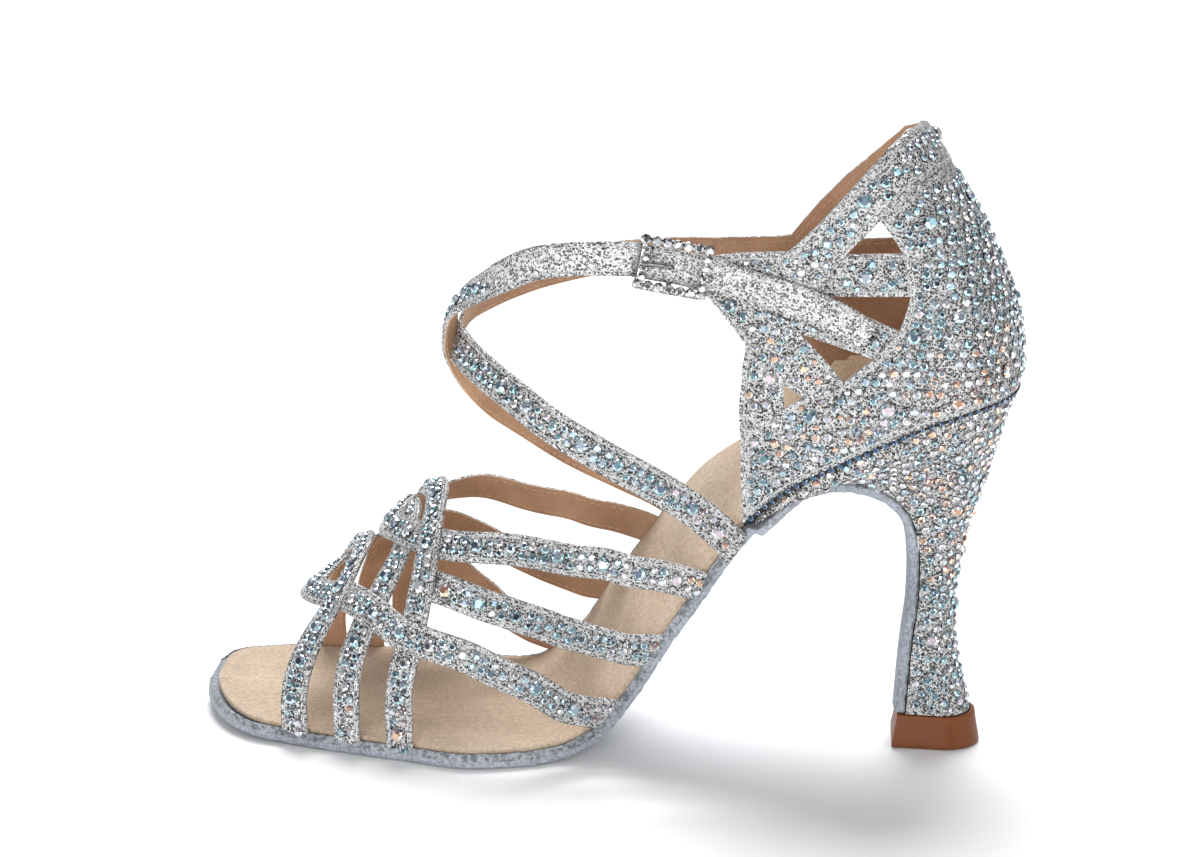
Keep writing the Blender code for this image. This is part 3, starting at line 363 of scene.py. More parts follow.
BED_UP = smooth(BED["along"], BED["up"])
BED_SKEW = smooth(BED["along"], BED["skew"])
BED_LATERAL = smooth(BED["along"], BED["lateral"])
BED_MEDIAL = smooth(BED["along"], BED["medial"])
SEAT_HALF = BALL_WIDTH * float(np.max(BED_LATERAL(np.linspace(0.0, SEAT_FRONT, 30))))
RIDGE_UP = smooth(RIDGE["along"], RIDGE["up"])
HEEL_STEPS = np.linspace(0.0, 1.0, len(HEEL["up"]))
HEEL_WAIST = HEEL["width"].index(min(HEEL["width"]))


def end_rounding(along):
    """Share of the width that the round toe and heel leave at a place."""
    into_toe = max(0.0, (along - 1.0 + TOE_ROUND) / TOE_ROUND)
    into_heel = max(0.0, (HEEL_ROUND - along) / HEEL_ROUND)
    return math.sqrt(max(0.0, 1.0 - max(into_toe, into_heel) ** 2))


def bed_edges(along, grow=0.0):
    """Lateral and medial edge points of the footbed, its outline grown by a margin."""
    lateral = BALL_WIDTH * float(BED_LATERAL(along)) + grow
    medial = BALL_WIDTH * float(BED_MEDIAL(along)) + grow
    middle = 0.5 * (medial - lateral)
    half = 0.5 * (medial + lateral) * end_rounding(along)
    x = float(along_x(along))
    toe_start = float(along_x(1.0 - TOE_ROUND))
    heel_start = float(along_x(HEEL_ROUND))
    if x < toe_start:
        x += (x - toe_start) * grow / (TOE_ROUND * BED_LENGTH)
    if x > heel_start:
        x += (x - heel_start) * grow / (HEEL_ROUND * BED_LENGTH)
    z = float(up_z(BED_UP(along)))
    skew = float(BED_SKEW(along))
    edges = []
    for y in (middle - half, middle + half):
        edges.append(np.array((x - skew * y, y, z)))
    return edges


def bed_normal(along):
    """Upward normal of the footbed's middle line."""
    step = 0.002
    run = float(along_x(along + step) - along_x(along - step))
    rise = float(up_z(BED_UP(along + step)) - up_z(BED_UP(along - step)))
    return unit(np.array((rise, 0.0, -run)))


def round_places(first, last, count):
    """Shares from first to last, closer together towards two round ends."""
    turns = np.linspace(0.0, math.pi, count)
    return first + (last - first) * 0.5 * (1.0 - np.cos(turns))


def breast_path(count):
    """Outer face of the suede over the arch and down the breast, as x and z."""
    rows = np.stack((along_x(BREAST["along"]), up_z(BREAST["up"])), axis=1)
    return spline(rows, count)


def path_normals(path):
    """Normals of an x and z path that runs back from the toe, towards its upper side."""
    tangents = unit(np.gradient(path, axis=0))
    return np.stack((-tangents[:, 1], tangents[:, 0]), axis=1)


def heel_row(share):
    """Values of the heel's table at a share of the way down."""
    return {name: float(smooth(HEEL_STEPS, HEEL[name])(share)) for name in HEEL}


def heel_half(row):
    """Half width of a heel ring."""
    if row["up"] < HEEL["up"][HEEL_WAIST]:
        wide = HEEL_FOOT_WIDTH
        reach = row["width"] / HEEL["width"][-1]
    else:
        wide = SEAT_WIDTH
        reach = row["width"]
    return 0.5 * (HEEL_WAIST_WIDTH + (wide - HEEL_WAIST_WIDTH) * reach)


def column_profile(share, length, half):
    """Half width of the heel's column, straight in front and round at the back."""
    round_start = 1.0 - min(0.6, half / length)
    if share <= round_start:
        return 0.90 + 0.10 * share / round_start
    into = (share - round_start) / (1.0 - round_start)
    return math.sqrt(max(0.0, 1.0 - into * into))


def seat_profile(share):
    """Half width of the heel's seat, following the footbed's outline."""
    along = HEEL_FRONT * (1.0 - share)
    lateral, medial = bed_edges(along)
    return (medial[1] - lateral[1]) / (2.0 * SEAT_HALF)


def breast_skew(along, breast):
    """Skew of a section that fades out down the breast."""
    return float(BED_SKEW(along)) * max(0.0, 1.0 - breast / SKEW_FADE)


def heel_front(places):
    """Front line of the heel block, behind the suede flap."""
    path = breast_path(120)
    inner = path + path_normals(path) * (FLAP_THICKNESS + FIT + FLAP_BULGE)
    shares = np.linspace(0.0, 1.0, len(path))
    return values_at(places, shares, inner)


def heel_front_half(breast):
    """Half width of the heel's front edge at a place on the breast."""
    share = np.interp(breast, HEEL["breast"], HEEL_STEPS)
    row = heel_row(share)
    half = heel_half(row)
    return half * ((1.0 - row["column"]) * seat_profile(0.0) + row["column"] * 0.90)


def seat_height(share):
    """How far the seat's curve stands above a straight line from its front to its back."""
    along = HEEL_FRONT * (1.0 - share)
    here = float(up_z(BED_UP(along)))
    start = float(up_z(BED_UP(HEEL_FRONT)))
    end = float(up_z(BED_UP(0.0)))
    return here - (start + (end - start) * share)


def seat_ring(shares):
    """Top ring of the heel, under the insole and the quarter's lower edge."""
    margin = 0.5 * QUARTER_WALL + FIT
    ring_left, ring_right = [], []
    for share in shares:
        along = (HEEL_FRONT - 0.006) * (1.0 - share * 0.998)
        left, right = bed_edges(along, margin)
        drop = bed_normal(along) * (INSOLE_THICKNESS + FIT)
        ring_left.append(left - drop)
        ring_right.append(right - drop)
    return ring_left + ring_right[::-1]


def edge_line(side):
    """Edge of the footbed on one side as x, distance from the middle plane and z."""
    rows = []
    for along in np.linspace(0.0, 0.7, 120):
        point = bed_edges(along)[0 if side < 0 else 1]
        rows.append((point[0], abs(point[1]), point[2]))
    return np.array(rows[::-1])


EDGES = {side: edge_line(side) for side in (-1, 1)}
BACK_ALONG = smooth(BACK["up"], BACK["along"])
BACK_LEVELS = np.linspace(0.0, 2.1, 106)


def back_x(z):
    """Back line of the quarter's outer face at a height."""
    return float(np.interp(z, up_z(BACK_LEVELS), along_x(BACK_ALONG(BACK_LEVELS))))


def seat_edge(x, side):
    """Half width and height of the footbed's edge at a lengthwise place."""
    line = EDGES[side]
    inner = min(x, float(along_x(HEEL_ROUND)))
    half, _ = values_at(inner, line[:, 0], line[:, 1:])
    _, height = values_at(x, line[:, 0], line[:, 1:])
    return float(half), float(height)


def wall_point(wrap, z, offset=0.0):
    """Point on the quarter's middle surface: wrap is the way round from the back's middle."""
    side = -1 if wrap < 0.0 else 1
    reach = abs(wrap)
    round_length = 0.5 * math.pi * BACK_ROUND
    start = back_x(z) - BACK_ROUND
    if reach < round_length:
        angle = reach / BACK_ROUND
        x, share = start + (BACK_ROUND - 0.5 * QUARTER_WALL + offset) * math.cos(angle), math.sin(angle)
        half_x = start
    else:
        x, share = start - (reach - round_length), 1.0
        half_x = x
    seat_half, seat_z = seat_edge(half_x, side)
    climb = min(1.0, max(0.0, (z - seat_z) / (SEAT_TOP + COLLAR_RISE - seat_z)))
    climb = climb * climb * (3.0 - 2.0 * climb)
    base = seat_half + FIT + 0.5 * QUARTER_WALL
    half = base + (0.5 * ANKLE_WIDTH - base) * climb
    return np.array((x, side * (half + offset) * share, z))


def wrap_at(along, z, side):
    """Way round the quarter of a place given by its share along the shoe."""
    x = float(along_x(along))
    start = back_x(z) - BACK_ROUND
    round_length = 0.5 * math.pi * BACK_ROUND
    if x <= start:
        return side * (round_length + start - x)
    return side * BACK_ROUND * math.acos(min(1.0, (x - start) / BACK_ROUND))


def lower_edge_z(wrap):
    """Height of the quarter's lower edge, level with the insole's underside."""
    side = -1 if wrap < 0.0 else 1
    z = SEAT_TOP
    for _ in range(12):
        x = wall_point(wrap, z)[0]
        line = EDGES[side]
        z = float(np.interp(x, line[:, 0], line[:, 2])) - INSOLE_THICKNESS
    return z


def subdivided(corners, step):
    """Closed outline with extra points on its long sides."""
    points = []
    for i, corner in enumerate(corners):
        start = np.array(corner)
        end = np.array(corners[(i + 1) % len(corners)])
        count = max(1, round(float(np.linalg.norm(end - start)) / step))
        points += [start + (end - start) * k / count for k in range(count)]
    return points


def pattern_places(rows, side):
    """Flat pattern points, as way round and height, from shares along and up."""
    return [(wrap_at(a, float(up_z(u)), side), float(up_z(u))) for a, u in rows]


def quarter_outline():
    """Flat pattern's outer edge, as way round and height."""
    half = {}
    for side, name in SIDES:
        rows = pattern_places(zip(COLLAR_EDGE["along"], COLLAR_EDGE[name]), side)
        foot = float(np.interp(float(along_x(FRONT_FOOT)), EDGES[side][:, 0], EDGES[side][:, 2]))
        rows.append((wrap_at(FRONT_FOOT, foot - INSOLE_THICKNESS, side), foot - INSOLE_THICKNESS))
        half[side] = rows
    reach = half[-1][-1][0]
    wraps = np.linspace(reach, half[1][-1][0], 34)[1:-1]
    lower = [(float(w), lower_edge_z(float(w))) for w in wraps]
    return [(0.0, float(up_z(2.0)))] + half[-1] + lower + half[1][::-1]


def cutout_outlines():
    """Cut-outs of both sides in the flat pattern."""
    return [pattern_places(corners, side) for side, name in SIDES for corners in CUTOUTS[name]]


def arch_point(along, angle):
    """Point on the vamp's arch: angle 0 at the lateral edge, 180 at the medial edge."""
    left, right = bed_edges(along, FIT + 0.5 * STRAP_THICKNESS + BAND_ROOM)
    middle = 0.5 * (left + right)
    base = middle[2] - INSOLE_THICKNESS
    turn = math.radians(angle)
    out = signed_power(math.cos(turn), 2.0 / ARCH_POWER)
    lift = signed_power(math.sin(turn), 2.0 / ARCH_POWER)
    point = middle + (left - middle) * out
    ridge = 0.5 * TREAD_TOP + INSTEP_HEIGHT * float(RIDGE_UP(along))
    point[2] = base + (ridge - base) * (lift - RIDGE_FLATTENING * lift ** 6)
    return point


def arch_normal(along, angle):
    """Outward normal of the vamp's arch."""
    angle = min(176.0, max(4.0, angle))
    lengthwise = arch_point(along + 0.004, angle) - arch_point(along - 0.004, angle)
    round_arch = arch_point(along, angle + 1.5) - arch_point(along, angle - 1.5)
    return unit(np.cross(round_arch, lengthwise))


def wall_normal(wrap, z):
    """Outward normal of the quarter."""
    step = 0.001
    round_wall = wall_point(wrap + step, z) - wall_point(wrap - step, z)
    upwards = wall_point(wrap, z + step) - wall_point(wrap, z - step)
    return unit(np.cross(round_wall, upwards))


def strap_normals(centres):
    """Outward normals of a strap that goes round the instep."""
    spine_x = np.clip(centres[:, 0], float(along_x(SPINE_FRONT)), float(along_x(SPINE_BACK)))
    away = np.stack((centres[:, 0] - spine_x, centres[:, 1] - SPINE_ACROSS * BALL_WIDTH,
                     np.zeros(len(centres))), axis=1)
    away = unit(away)
    away[:, 2] = STRAP_LEAN + FRONT_LEAN * np.abs(away[:, 0])
    return unit(away)


def strap_rows(table):
    """Places and normals of a strap's table."""
    places = np.stack((along_x(table["along"]), np.array(table["across"]) * BALL_WIDTH,
                       up_z(table["up"])), axis=1)
    return np.hstack((places, strap_normals(places)))


def lapped_row(along, up, side):
    """Place and normal of a strap that lies on the quarter's outer face."""
    lap = 0.5 * QUARTER_WALL + FIT + 0.5 * STRAP_THICKNESS
    z = float(up_z(up))
    wrap = wrap_at(along, z, side)
    normal = wall_normal(wrap, z)
    return np.concatenate((wall_point(wrap, z) + normal * lap, normal))


def buckle_ends():
    """Strap rows where it enters the buckle and where it reaches the quarter behind it."""
    entry = strap_rows({name: ANKLE_STRAP[name][-1:] for name in ANKLE_STRAP})[0]
    leave = lapped_row(STRAP_TAIL["along"][0], STRAP_TAIL["up"][0], -1)
    return entry, leave


def ankle_strap_line(count):
    """Middle line and normals of the ankle strap; it runs straight through the buckle."""
    rows = strap_rows(ANKLE_STRAP)
    entry, leave = buckle_ends()
    for share in (0.06, 0.5, 0.94):
        rows = np.vstack((rows, entry + (leave - entry) * share))
    for along, up in zip(STRAP_TAIL["along"], STRAP_TAIL["up"]):
        rows = np.vstack((rows, lapped_row(along, up, -1)))
    return spline(rows, count)


def buckle_frame():
    """Middle, tangent, upward side and outward normal of the strap at the buckle."""
    entry, leave = buckle_ends()
    middle = 0.5 * (entry + leave)
    tangent = unit(leave[:3] - entry[:3])
    normal = unit(middle[3:] - tangent * np.dot(middle[3:], tangent))
    side = np.cross(tangent, normal)
    if side[2] < 0.0:
        side = -side
    return middle[:3], tangent, side, normal


def prong_path(frame):
    """Line of the prong: out through the strap's hole, then forward over the frame."""
    middle, tangent, _, normal = frame
    lift = 0.5 * STRAP_THICKNESS + FIT + 0.5 * PRONG_DIAMETER
    over = 0.5 * STRAP_THICKNESS + 2.0 * FIT + BUCKLE_BAR + 0.5 * PRONG_DIAMETER
    reach = 0.5 * BUCKLE_LENGTH
    rows = [(0.0, -0.5 * STRAP_THICKNESS), (0.0, 0.4 * lift), (-0.06 * reach, lift),
            (-0.35 * reach, lift + 0.0004), (-0.75 * reach, over), (-1.02 * reach, over)]
    return spline([middle + tangent * t + normal * n for t, n in rows], 12)


# Looks

MM = 0.001

# Thickness of the straps that are seen, and how far the vamp's bands rise or sink where they cross
VISUAL_STRAP = 1.15 * MM
WEAVE = 0.52 * MM


def linear(colour):
    """Linear colour, with alpha, of an 8-bit red, green and blue."""
    scaled = [((v / 255.0 + 0.055) / 1.055) ** 2.4 if v > 10 else v / 3294.6 for v in colour]
    return (*scaled, 1.0)


def grey(value):
    return (value, value, value, 1.0)


class Look:
    """A node material and short ways to add to it."""

    def __init__(self, name, colour, roughness, metallic=0.0, **sockets):
        self.material = bpy.data.materials.new(name)
        self.material.use_nodes = True
        self.tree = self.material.node_tree
        self.shader = self.tree.nodes["Principled BSDF"]
        self.shader.inputs["Base Color"].default_value = colour
        self.shader.inputs["Roughness"].default_value = roughness
        self.shader.inputs["Metallic"].default_value = metallic
        for key, value in sockets.items():
            self.shader.inputs[key.replace("_", " ")].default_value = value
        self.place = self.node("ShaderNodeTexCoord").outputs["Object"]

    def node(self, kind, inputs=(), **settings):
        made = self.tree.nodes.new(kind)
        for key, value in settings.items():
            setattr(made, key, value)
        for key, value in dict(inputs).items():
            if isinstance(value, bpy.types.NodeSocket):
                self.tree.links.new(value, made.inputs[key])
            else:
                made.inputs[key].default_value = value
        return made

    def link(self, output, socket):
        self.tree.links.new(output, self.shader.inputs[socket])

    def ramp(self, value, stops, interpolation="LINEAR"):
        ramp = self.node("ShaderNodeValToRGB", {"Fac": value})
        ramp.color_ramp.interpolation = interpolation
        elements = ramp.color_ramp.elements
        while len(elements) < len(stops):
            elements.new(0.5)
        for element, (position, colour) in zip(elements, stops):
            element.position = position
            element.color = colour
        return ramp.outputs["Color"]

    def noise(self, scale, detail=2.0, roughness=0.5):
        inputs = {"Vector": self.place, "Scale": scale, "Detail": detail, "Roughness": roughness}
        return self.node("ShaderNodeTexNoise", inputs).outputs["Fac"]

    def vector(self, operation, first, second):
        inputs = {0: first, "Scale" if operation == "SCALE" else 1: second}
        return self.node("ShaderNodeVectorMath", inputs, operation=operation).outputs[0]

    def tint(self, *colours):
        """Colours multiplied into each other, as the base colour."""
        product = colours[0]
        for colour in colours[1:]:
            made = self.node("ShaderNodeMix", data_type="RGBA", blend_type="MULTIPLY")
            for index, value in ((0, 1.0), (6, product), (7, colour)):
                if isinstance(value, bpy.types.NodeSocket):
                    self.tree.links.new(value, made.inputs[index])
                else:
                    made.inputs[index].default_value = value
            product = made.outputs[2]
        self.link(product, "Base Color")

    def math(self, operation, first, second=0.0):
        return self.node("ShaderNodeMath", {0: first, 1: second}, operation=operation).outputs[0]

    def bump(self, height, strength, distance):
        inputs = {"Height": height, "Strength": strength, "Distance": distance}
        self.link(self.node("ShaderNodeBump", inputs).outputs["Normal"], "Normal")


def glitter_look(name, cell, dark, middle, light, roughness, metallic, tilt):
    """Cloth of glitter strands: dark pits between light flakes, each with its own tone and tilt."""
    look = Look(name, grey(0.5), roughness, metallic)
    inputs = {"Vector": look.place, "Scale": 1.0 / cell, "Randomness": 1.0}
    cells = look.node("ShaderNodeTexVoronoi", inputs)
    split = look.node("ShaderNodeSeparateColor", {"Color": cells.outputs["Color"]})
    shade = look.math("MULTIPLY", look.math("SUBTRACT", split.outputs[0], 0.42), 0.75)
    depth = look.math("ADD", cells.outputs["Distance"], shade)
    tone = look.ramp(depth, [(0.24, grey(dark)), (0.46, grey(middle)), (0.80, grey(light))])
    fibre = look.ramp(look.noise(1.9 / cell, 3.0, 0.7), [(0.38, grey(0.50)), (0.60, grey(1.34))])
    patch = look.ramp(look.noise(90.0, 3.0), [(0.3, grey(0.86)), (0.7, grey(1.06))])
    look.tint(tone, fibre, patch)
    offset = look.vector("SUBTRACT", cells.outputs["Color"], (0.5, 0.5, 0.5))
    surface = look.node("ShaderNodeNewGeometry").outputs["Normal"]
    total = look.vector("ADD", look.vector("SCALE", offset, tilt), surface)
    tilted = look.node("ShaderNodeVectorMath", {0: total}, operation="NORMALIZE")
    look.link(tilted.outputs[0], "Normal")
    return look.material


def grained(look, dark, light, patches, grain, stops, strength, depth):
    """Gives a look soft patches of two colours and a fine grain that is also its bump."""
    tone = look.ramp(patches, [(0.3, linear(dark)), (0.7, linear(light))])
    look.tint(tone, look.ramp(grain, stops))
    look.bump(grain, strength, depth)
    return look.material


def leather_look(name, dark, light, roughness, depth, scale):
    """Leather lining: soft patches of colour and a fine grain of pores."""
    look = Look(name, linear(light), roughness)
    stops = [(0.35, grey(0.86)), (0.6, grey(1.04))]
    pores = look.noise(scale, 3.0, 0.7)
    return grained(look, dark, light, look.noise(60.0, 4.0, 0.6), pores, stops, 0.5, depth)


def suede_look(name, dark, light, roughness, depth, scale, sheen, fleck=0.74, spread=0.17):
    """Napped suede: patches brushed one way and another, with a fine nap."""
    look = Look(name, linear(light), roughness, Sheen_Weight=sheen, Sheen_Roughness=0.5)
    stops = [(0.5 - spread, grey(fleck)), (0.5 + spread, grey(1.12))]
    nap = look.noise(scale, 4.0, 0.75)
    return grained(look, dark, light, look.noise(35.0, 4.0, 0.6), nap, stops, 0.8, depth)


def stone_look(name, metallic, roughness):
    """Foiled crystal: each facet takes its tint from the mesh, painted highlights, painted reflections and
    painted shade included.
    """
    look = Look(name, grey(0.8), roughness, metallic, Coat_Weight=0.6, Coat_Roughness=0.03)
    tint = look.node("ShaderNodeVertexColor", layer_name="tint")
    look.link(tint.outputs["Color"], "Base Color")
    return look.material


def plain_look(name, colour, roughness, metallic=0.0, wear=0.06, **sockets):
    """Smooth metal, thread or plastic with faint uneven polish."""
    look = Look(name, linear(colour), roughness, metallic, **sockets)
    cloud = look.noise(400.0, 3.0)
    tone = look.ramp(cloud, [(0.3, grey(1.0 - wear)), (0.7, grey(1.0))])
    look.tint(linear(colour), tone)
    gloss = look.ramp(cloud, [(0.3, grey(roughness)), (0.7, grey(roughness * 1.25))])
    look.link(gloss, "Roughness")
    return look.material


GLITTER = glitter_look("glitter_cloth", 0.48 * MM, 0.015, 0.15, 0.66, 0.42, 0.3, 0.8)
BORDER = glitter_look("glitter_border", 0.42 * MM, 0.04, 0.25, 0.68, 0.42, 0.25, 0.7)
COARSE = glitter_look("glitter_coarse", 0.52 * MM, 0.09, 0.34, 0.80, 0.40, 0.3, 0.7)
LINING = leather_look("lining_leather", (158, 120, 92), (192, 154, 124), 0.62, 0.06 * MM, 2200.0)
# Pale suede low inside the cup, its colour raised to near white as painted light where the cup lies in shade
PALE_PAINTED_LIGHT_LINING = suede_look("lining_pale_painted_light", (236, 218, 194), (250, 236, 214), 0.9, 0.1 * MM, 1500.0, 0.2)
RAW_EDGE = leather_look("lining_edge", (196, 160, 128), (222, 192, 160), 0.7, 0.05 * MM, 3000.0)
SOCK = suede_look("sock_suede", (182, 161, 139), (206, 187, 164), 0.95, 0.25 * MM, 900.0, 0.2, 0.80, 0.10)
SOLE = suede_look("sole_suede", (144, 151, 162), (178, 184, 194), 0.97, 0.25 * MM, 1100.0, 0.1, 0.6, 0.10)
SOLE_RIM = suede_look("sole_rim", (120, 125, 132), (178, 183, 190), 0.97, 0.45 * MM, 800.0, 0.2, 0.40, 0.08)
STONE = stone_look("crystal_foiled", 0.75, 0.12)
SILVER_THREAD = plain_look("silver_thread", (214, 217, 220), 0.5, 0.3)
CREAM_THREAD = plain_look("cream_thread", (206, 176, 144), 0.75)
CORD = plain_look("black_cord", (22, 24, 28), 0.55)
CHROME = plain_look("chrome", (150, 149, 146), 0.16, 1.0)
TIP = plain_look("tip_plastic", (116, 62, 26), 0.42, 0.0, 0.10, Specular_IOR_Level=0.3)


def make_mesh(name, points, faces, materials, slots=None, smooth_faces=True):
    """A named piece that rides on the shoe."""
    mesh = bpy.data.meshes.new(name)
    mesh.from_pydata([tuple(map(float, point)) for point in points], [], faces)
    for one in materials:
        mesh.materials.append(one)
    if slots is not None:
        mesh.polygons.foreach_set("material_index", slots)
    mesh.polygons.foreach_set("use_smooth", [smooth_faces] * len(mesh.polygons))
    piece = bpy.data.objects.new(name, mesh)
    bpy.context.scene.collection.objects.link(piece)
    return piece


def outward(piece):
    """Turns the faces of a closed piece outwards."""
    shape = bmesh.new()
    shape.from_mesh(piece.data)
    bmesh.ops.recalc_face_normals(shape, faces=shape.faces)
    shape.to_mesh(piece.data)
    shape.free()
    return piece


def settle(piece, material_slot, *nodes):
    """Ties a piece to the body and hides the nodes that it stands for; its slot is not used."""
    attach(piece, "root")
    if nodes:
        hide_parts(*nodes)
    return piece


def sharpen(piece, angle):
    """Shows edges that turn by more than an angle, in degrees, as sharp."""
    piece.data.set_sharp_from_angle(angle=math.radians(angle))
    return piece


def cut(target, other):
    """Cuts a piece with another one, which is then removed."""
    modifier = target.modifiers.new("cut", "BOOLEAN")
    modifier.operation = "DIFFERENCE"
    modifier.object = other
    modifier.solver = "EXACT"
    evaluated = target.evaluated_get(bpy.context.evaluated_depsgraph_get())
    result = bpy.data.meshes.new_from_object(evaluated)
    target.modifiers.clear()
    target.data = result


def ring_faces(rings, count, caps=True, closed=False):
    """Quads between equal closed rings, with end caps or with the last ring tied to the first."""
    faces = []
    for r in range(rings if closed else rings - 1):
        here, there = r * count, (r + 1) % rings * count
        for i in range(count):
            j = (i + 1) % count
            faces.append((here + i, here + j, there + j, there + i))
    if caps:
        faces.append(tuple(range(count))[::-1])
        faces.append(tuple(range((rings - 1) * count, rings * count)))
    return faces


def shifted(faces, first):
    """Faces whose points start at a later number."""
    return [tuple(first + i for i in face) for face in faces]


# Straps

# The instep strap's front loop lies nearer to the ankle strap, shown by rows of its line
LOOP_MIDDLE = 96
LOOP_REACH = 34.0
LOOP_SHIFT = 4.3 * MM

# Slots of a strap's materials: cloth, its border, the lining and the lining's raw edge
CLOTH, FOLD, INNER, RAW = range(4)


def strap_section(width, thickness):
    """Closed section of a strap as across, lift and slot: a folded edge, a sewn groove and a soft top."""
    half, top = 0.5 * width, 0.5 * thickness
    side = [(-half + 0.15 * MM, -top, RAW), (-half, -top + 0.22 * MM, FOLD),
            (-half, top - 0.38 * MM, FOLD), (-half + 0.12 * MM, top - 0.14 * MM, FOLD),
            (-half + 0.38 * MM, top, FOLD), (-half + 0.95 * MM, top + 0.03 * MM, FOLD),
            (-half + 1.2 * MM, top - 0.09 * MM, CLOTH), (-half + 1.5 * MM, top + 0.03 * MM, CLOTH),
            (-half * 0.5, top + 0.10 * MM, CLOTH)]
    section = side + [(0.0, top + 0.13 * MM, CLOTH)]
    slots = [CLOTH, CLOTH, FOLD, FOLD, FOLD, FOLD, FOLD, RAW]
    for (across, lift, _), slot in zip(side[:0:-1], slots):
        section.append((-across, lift, slot))
    section.append((half - 0.15 * MM, -top, INNER))
    for across in (0.7, 0.35, 0.0, -0.35, -0.7):
        section.append((across * half, -top, INNER))
    return section


def strap_frame(line, normals):
    """Outward normals and side directions along a strap."""
    tangents = unit(np.gradient(line, axis=0))
    normals = unit(normals - tangents * np.sum(normals * tangents, axis=1, keepdims=True))
    return normals, np.cross(tangents, normals)


def make_strap(name, line, normals, width, cloth=GLITTER):
    """A folded strap: glitter cloth outside, lining inside, a stitched border along each edge."""
    normals, sides = strap_frame(line, normals)
    section = strap_section(width, VISUAL_STRAP)
    points = []
    for centre, side, normal in zip(line, sides, normals):
        points += [centre + side * across + normal * lift for across, lift, _ in section]
    count = len(section)
    faces = ring_faces(len(line), count)
    slots = [section[i % count][2] for i in range(len(faces) - 2)] + [FOLD, FOLD]
    return outward(make_mesh(name, points, faces, [cloth, BORDER, LINING, RAW_EDGE], slots))


def band_rows(table, whole, mirrored=False):
    """Rows of a vamp band: place along, angle in right angles and weave level."""
    along, angle, level = (list(table[key]) for key in ("along", "angle", "level"))
    if whole:
        along += along[-2::-1]
        angle += [180.0 - value for value in angle[-2::-1]]
        level += level[-2::-1]
    if mirrored:
        angle = [180.0 - value for value in angle]
    return np.stack((along, np.array(angle) / 90.0, level), axis=1)


def band_line(rows, step=1.0 * MM):
    """Dense middle line and normals of a vamp band."""
    places = spline(rows, 12 * len(rows))
    points = np.array([arch_point(row[0], row[1] * 90.0) for row in places])
    length = np.sum(np.linalg.norm(np.diff(points, axis=0), axis=1))
    line = even(np.hstack((points, places)), int(length / step))
    normals = np.array([arch_normal(row[3], row[4] * 90.0) for row in line])
    return line[:, :3] + normals * (line[:, 5:6] * WEAVE), normals


def straps():
    """Every strap as name, line, normals, width and cloth."""
    made = []
    for kind, bands, width in (("cross", CROSS_BANDS, CROSS_BAND_WIDTH), ("v", V_BANDS, SIDE_BAND_WIDTH)):
        for name, table in bands.items():
            made.append((f"{kind}_band_{name}", *band_line(band_rows(table, True)), width, GLITTER))
    for side, name in SIDES:
        rows = band_rows(SHORT_BAND, False, side > 0)
        made.append((f"short_band_{name}", *band_line(rows), SIDE_BAND_WIDTH, GLITTER))
    rows = strap_rows(INSTEP_STRAP)
    for along, up in WING_LAP:
        rows = np.vstack((rows, lapped_row(along, up, 1)))
    line = spline(rows, 170)
    away = np.clip(np.abs(np.arange(len(line)) - LOOP_MIDDLE) / LOOP_REACH, 0.0, 1.0)
    line[:, 0] -= LOOP_SHIFT * np.cos(0.5 * math.pi * away) ** 2
    made.append(("instep_strap_cloth", line[:, :3], line[:, 3:], ANKLE_STRAP_WIDTH, GLITTER))
    line = ankle_strap_line(210)
    made.append(("ankle_strap_cloth", line[:, :3], line[:, 3:], ANKLE_STRAP_WIDTH, COARSE))
    return made


def sole_blade():
    """Everything below a level just inside the outsole, to trim the straps."""
    reach = 14 * MM
    rings = []
    for along in round_places(0.999, 0.24, 70):
        left, right = bed_edges(along, reach)
        normal = bed_normal(along)
        drop = normal * (INSOLE_THICKNESS + 0.9 * MM)
        low = normal * (INSOLE_THICKNESS + reach)
        rings += [left - drop, right - drop, right - low, left - low]
    return outward(make_mesh("sole_blade", rings, ring_faces(len(rings) // 4, 4), []))


# Stones

# Rings of a stone of radius one, from its back to its table: height, radius and shift in steps
STONE_RINGS = ((0.0, 0.97, 0.0), (0.20, 1.0, 0.0), (0.50, 0.80, 0.5), (0.72, 0.47, 0.0))

# Kinds of facets: the girdle with the back, the low ones, the high ones and the table
GIRDLE, LOW, HIGH, TABLE = range(4)

# Radius from which a stone has more sides, and both numbers of sides
BIG_STONE = 1.35 * MM
SMALL_SIDES = 8
BIG_SIDES = 12

# How far a stone sinks into the cloth, in mm
STONE_SINK = 0.05

# Radii of the stones on straps, in mm, as often as they are drawn
BIG_RADII = (1.85, 1.85, 1.65, 1.30)
SMALL_RADII = (1.05, 1.05, 1.12, 1.2)

# Upward part of a facet's direction below which its tint is a painted reflection of the bright floor, and
# above which it may take a painted white highlight of the light
FLOOR_FACING = -0.12
LIGHT_FACING = 0.45


def unit_stone(sides):
    """Points, faces and facet kinds of a flat-backed brilliant of radius one."""
    points = []
    for height, radius, shift in STONE_RINGS:
        points += [(radius * cosine, radius * sine, height) for cosine, sine in circle(sides, shift)]
    facets = []
    for k in range(sides):
        n = (k + 1) % sides
        facets += [((k, n, sides + n, sides + k), GIRDLE),
                   ((sides + k, sides + n, 2 * sides + k), LOW),
                   ((sides + n, 2 * sides + n, 2 * sides + k), HIGH),
                   ((2 * sides + k, 2 * sides + n, 3 * sides + n), HIGH),
                   ((2 * sides + k, 3 * sides + n, 3 * sides + k), HIGH)]
    facets.append((tuple(range(3 * sides, 4 * sides)), TABLE))
    facets.append((tuple(range(sides))[::-1], GIRDLE))
    return np.array(points), facets


WHITE_TINT = (250, 252, 255)
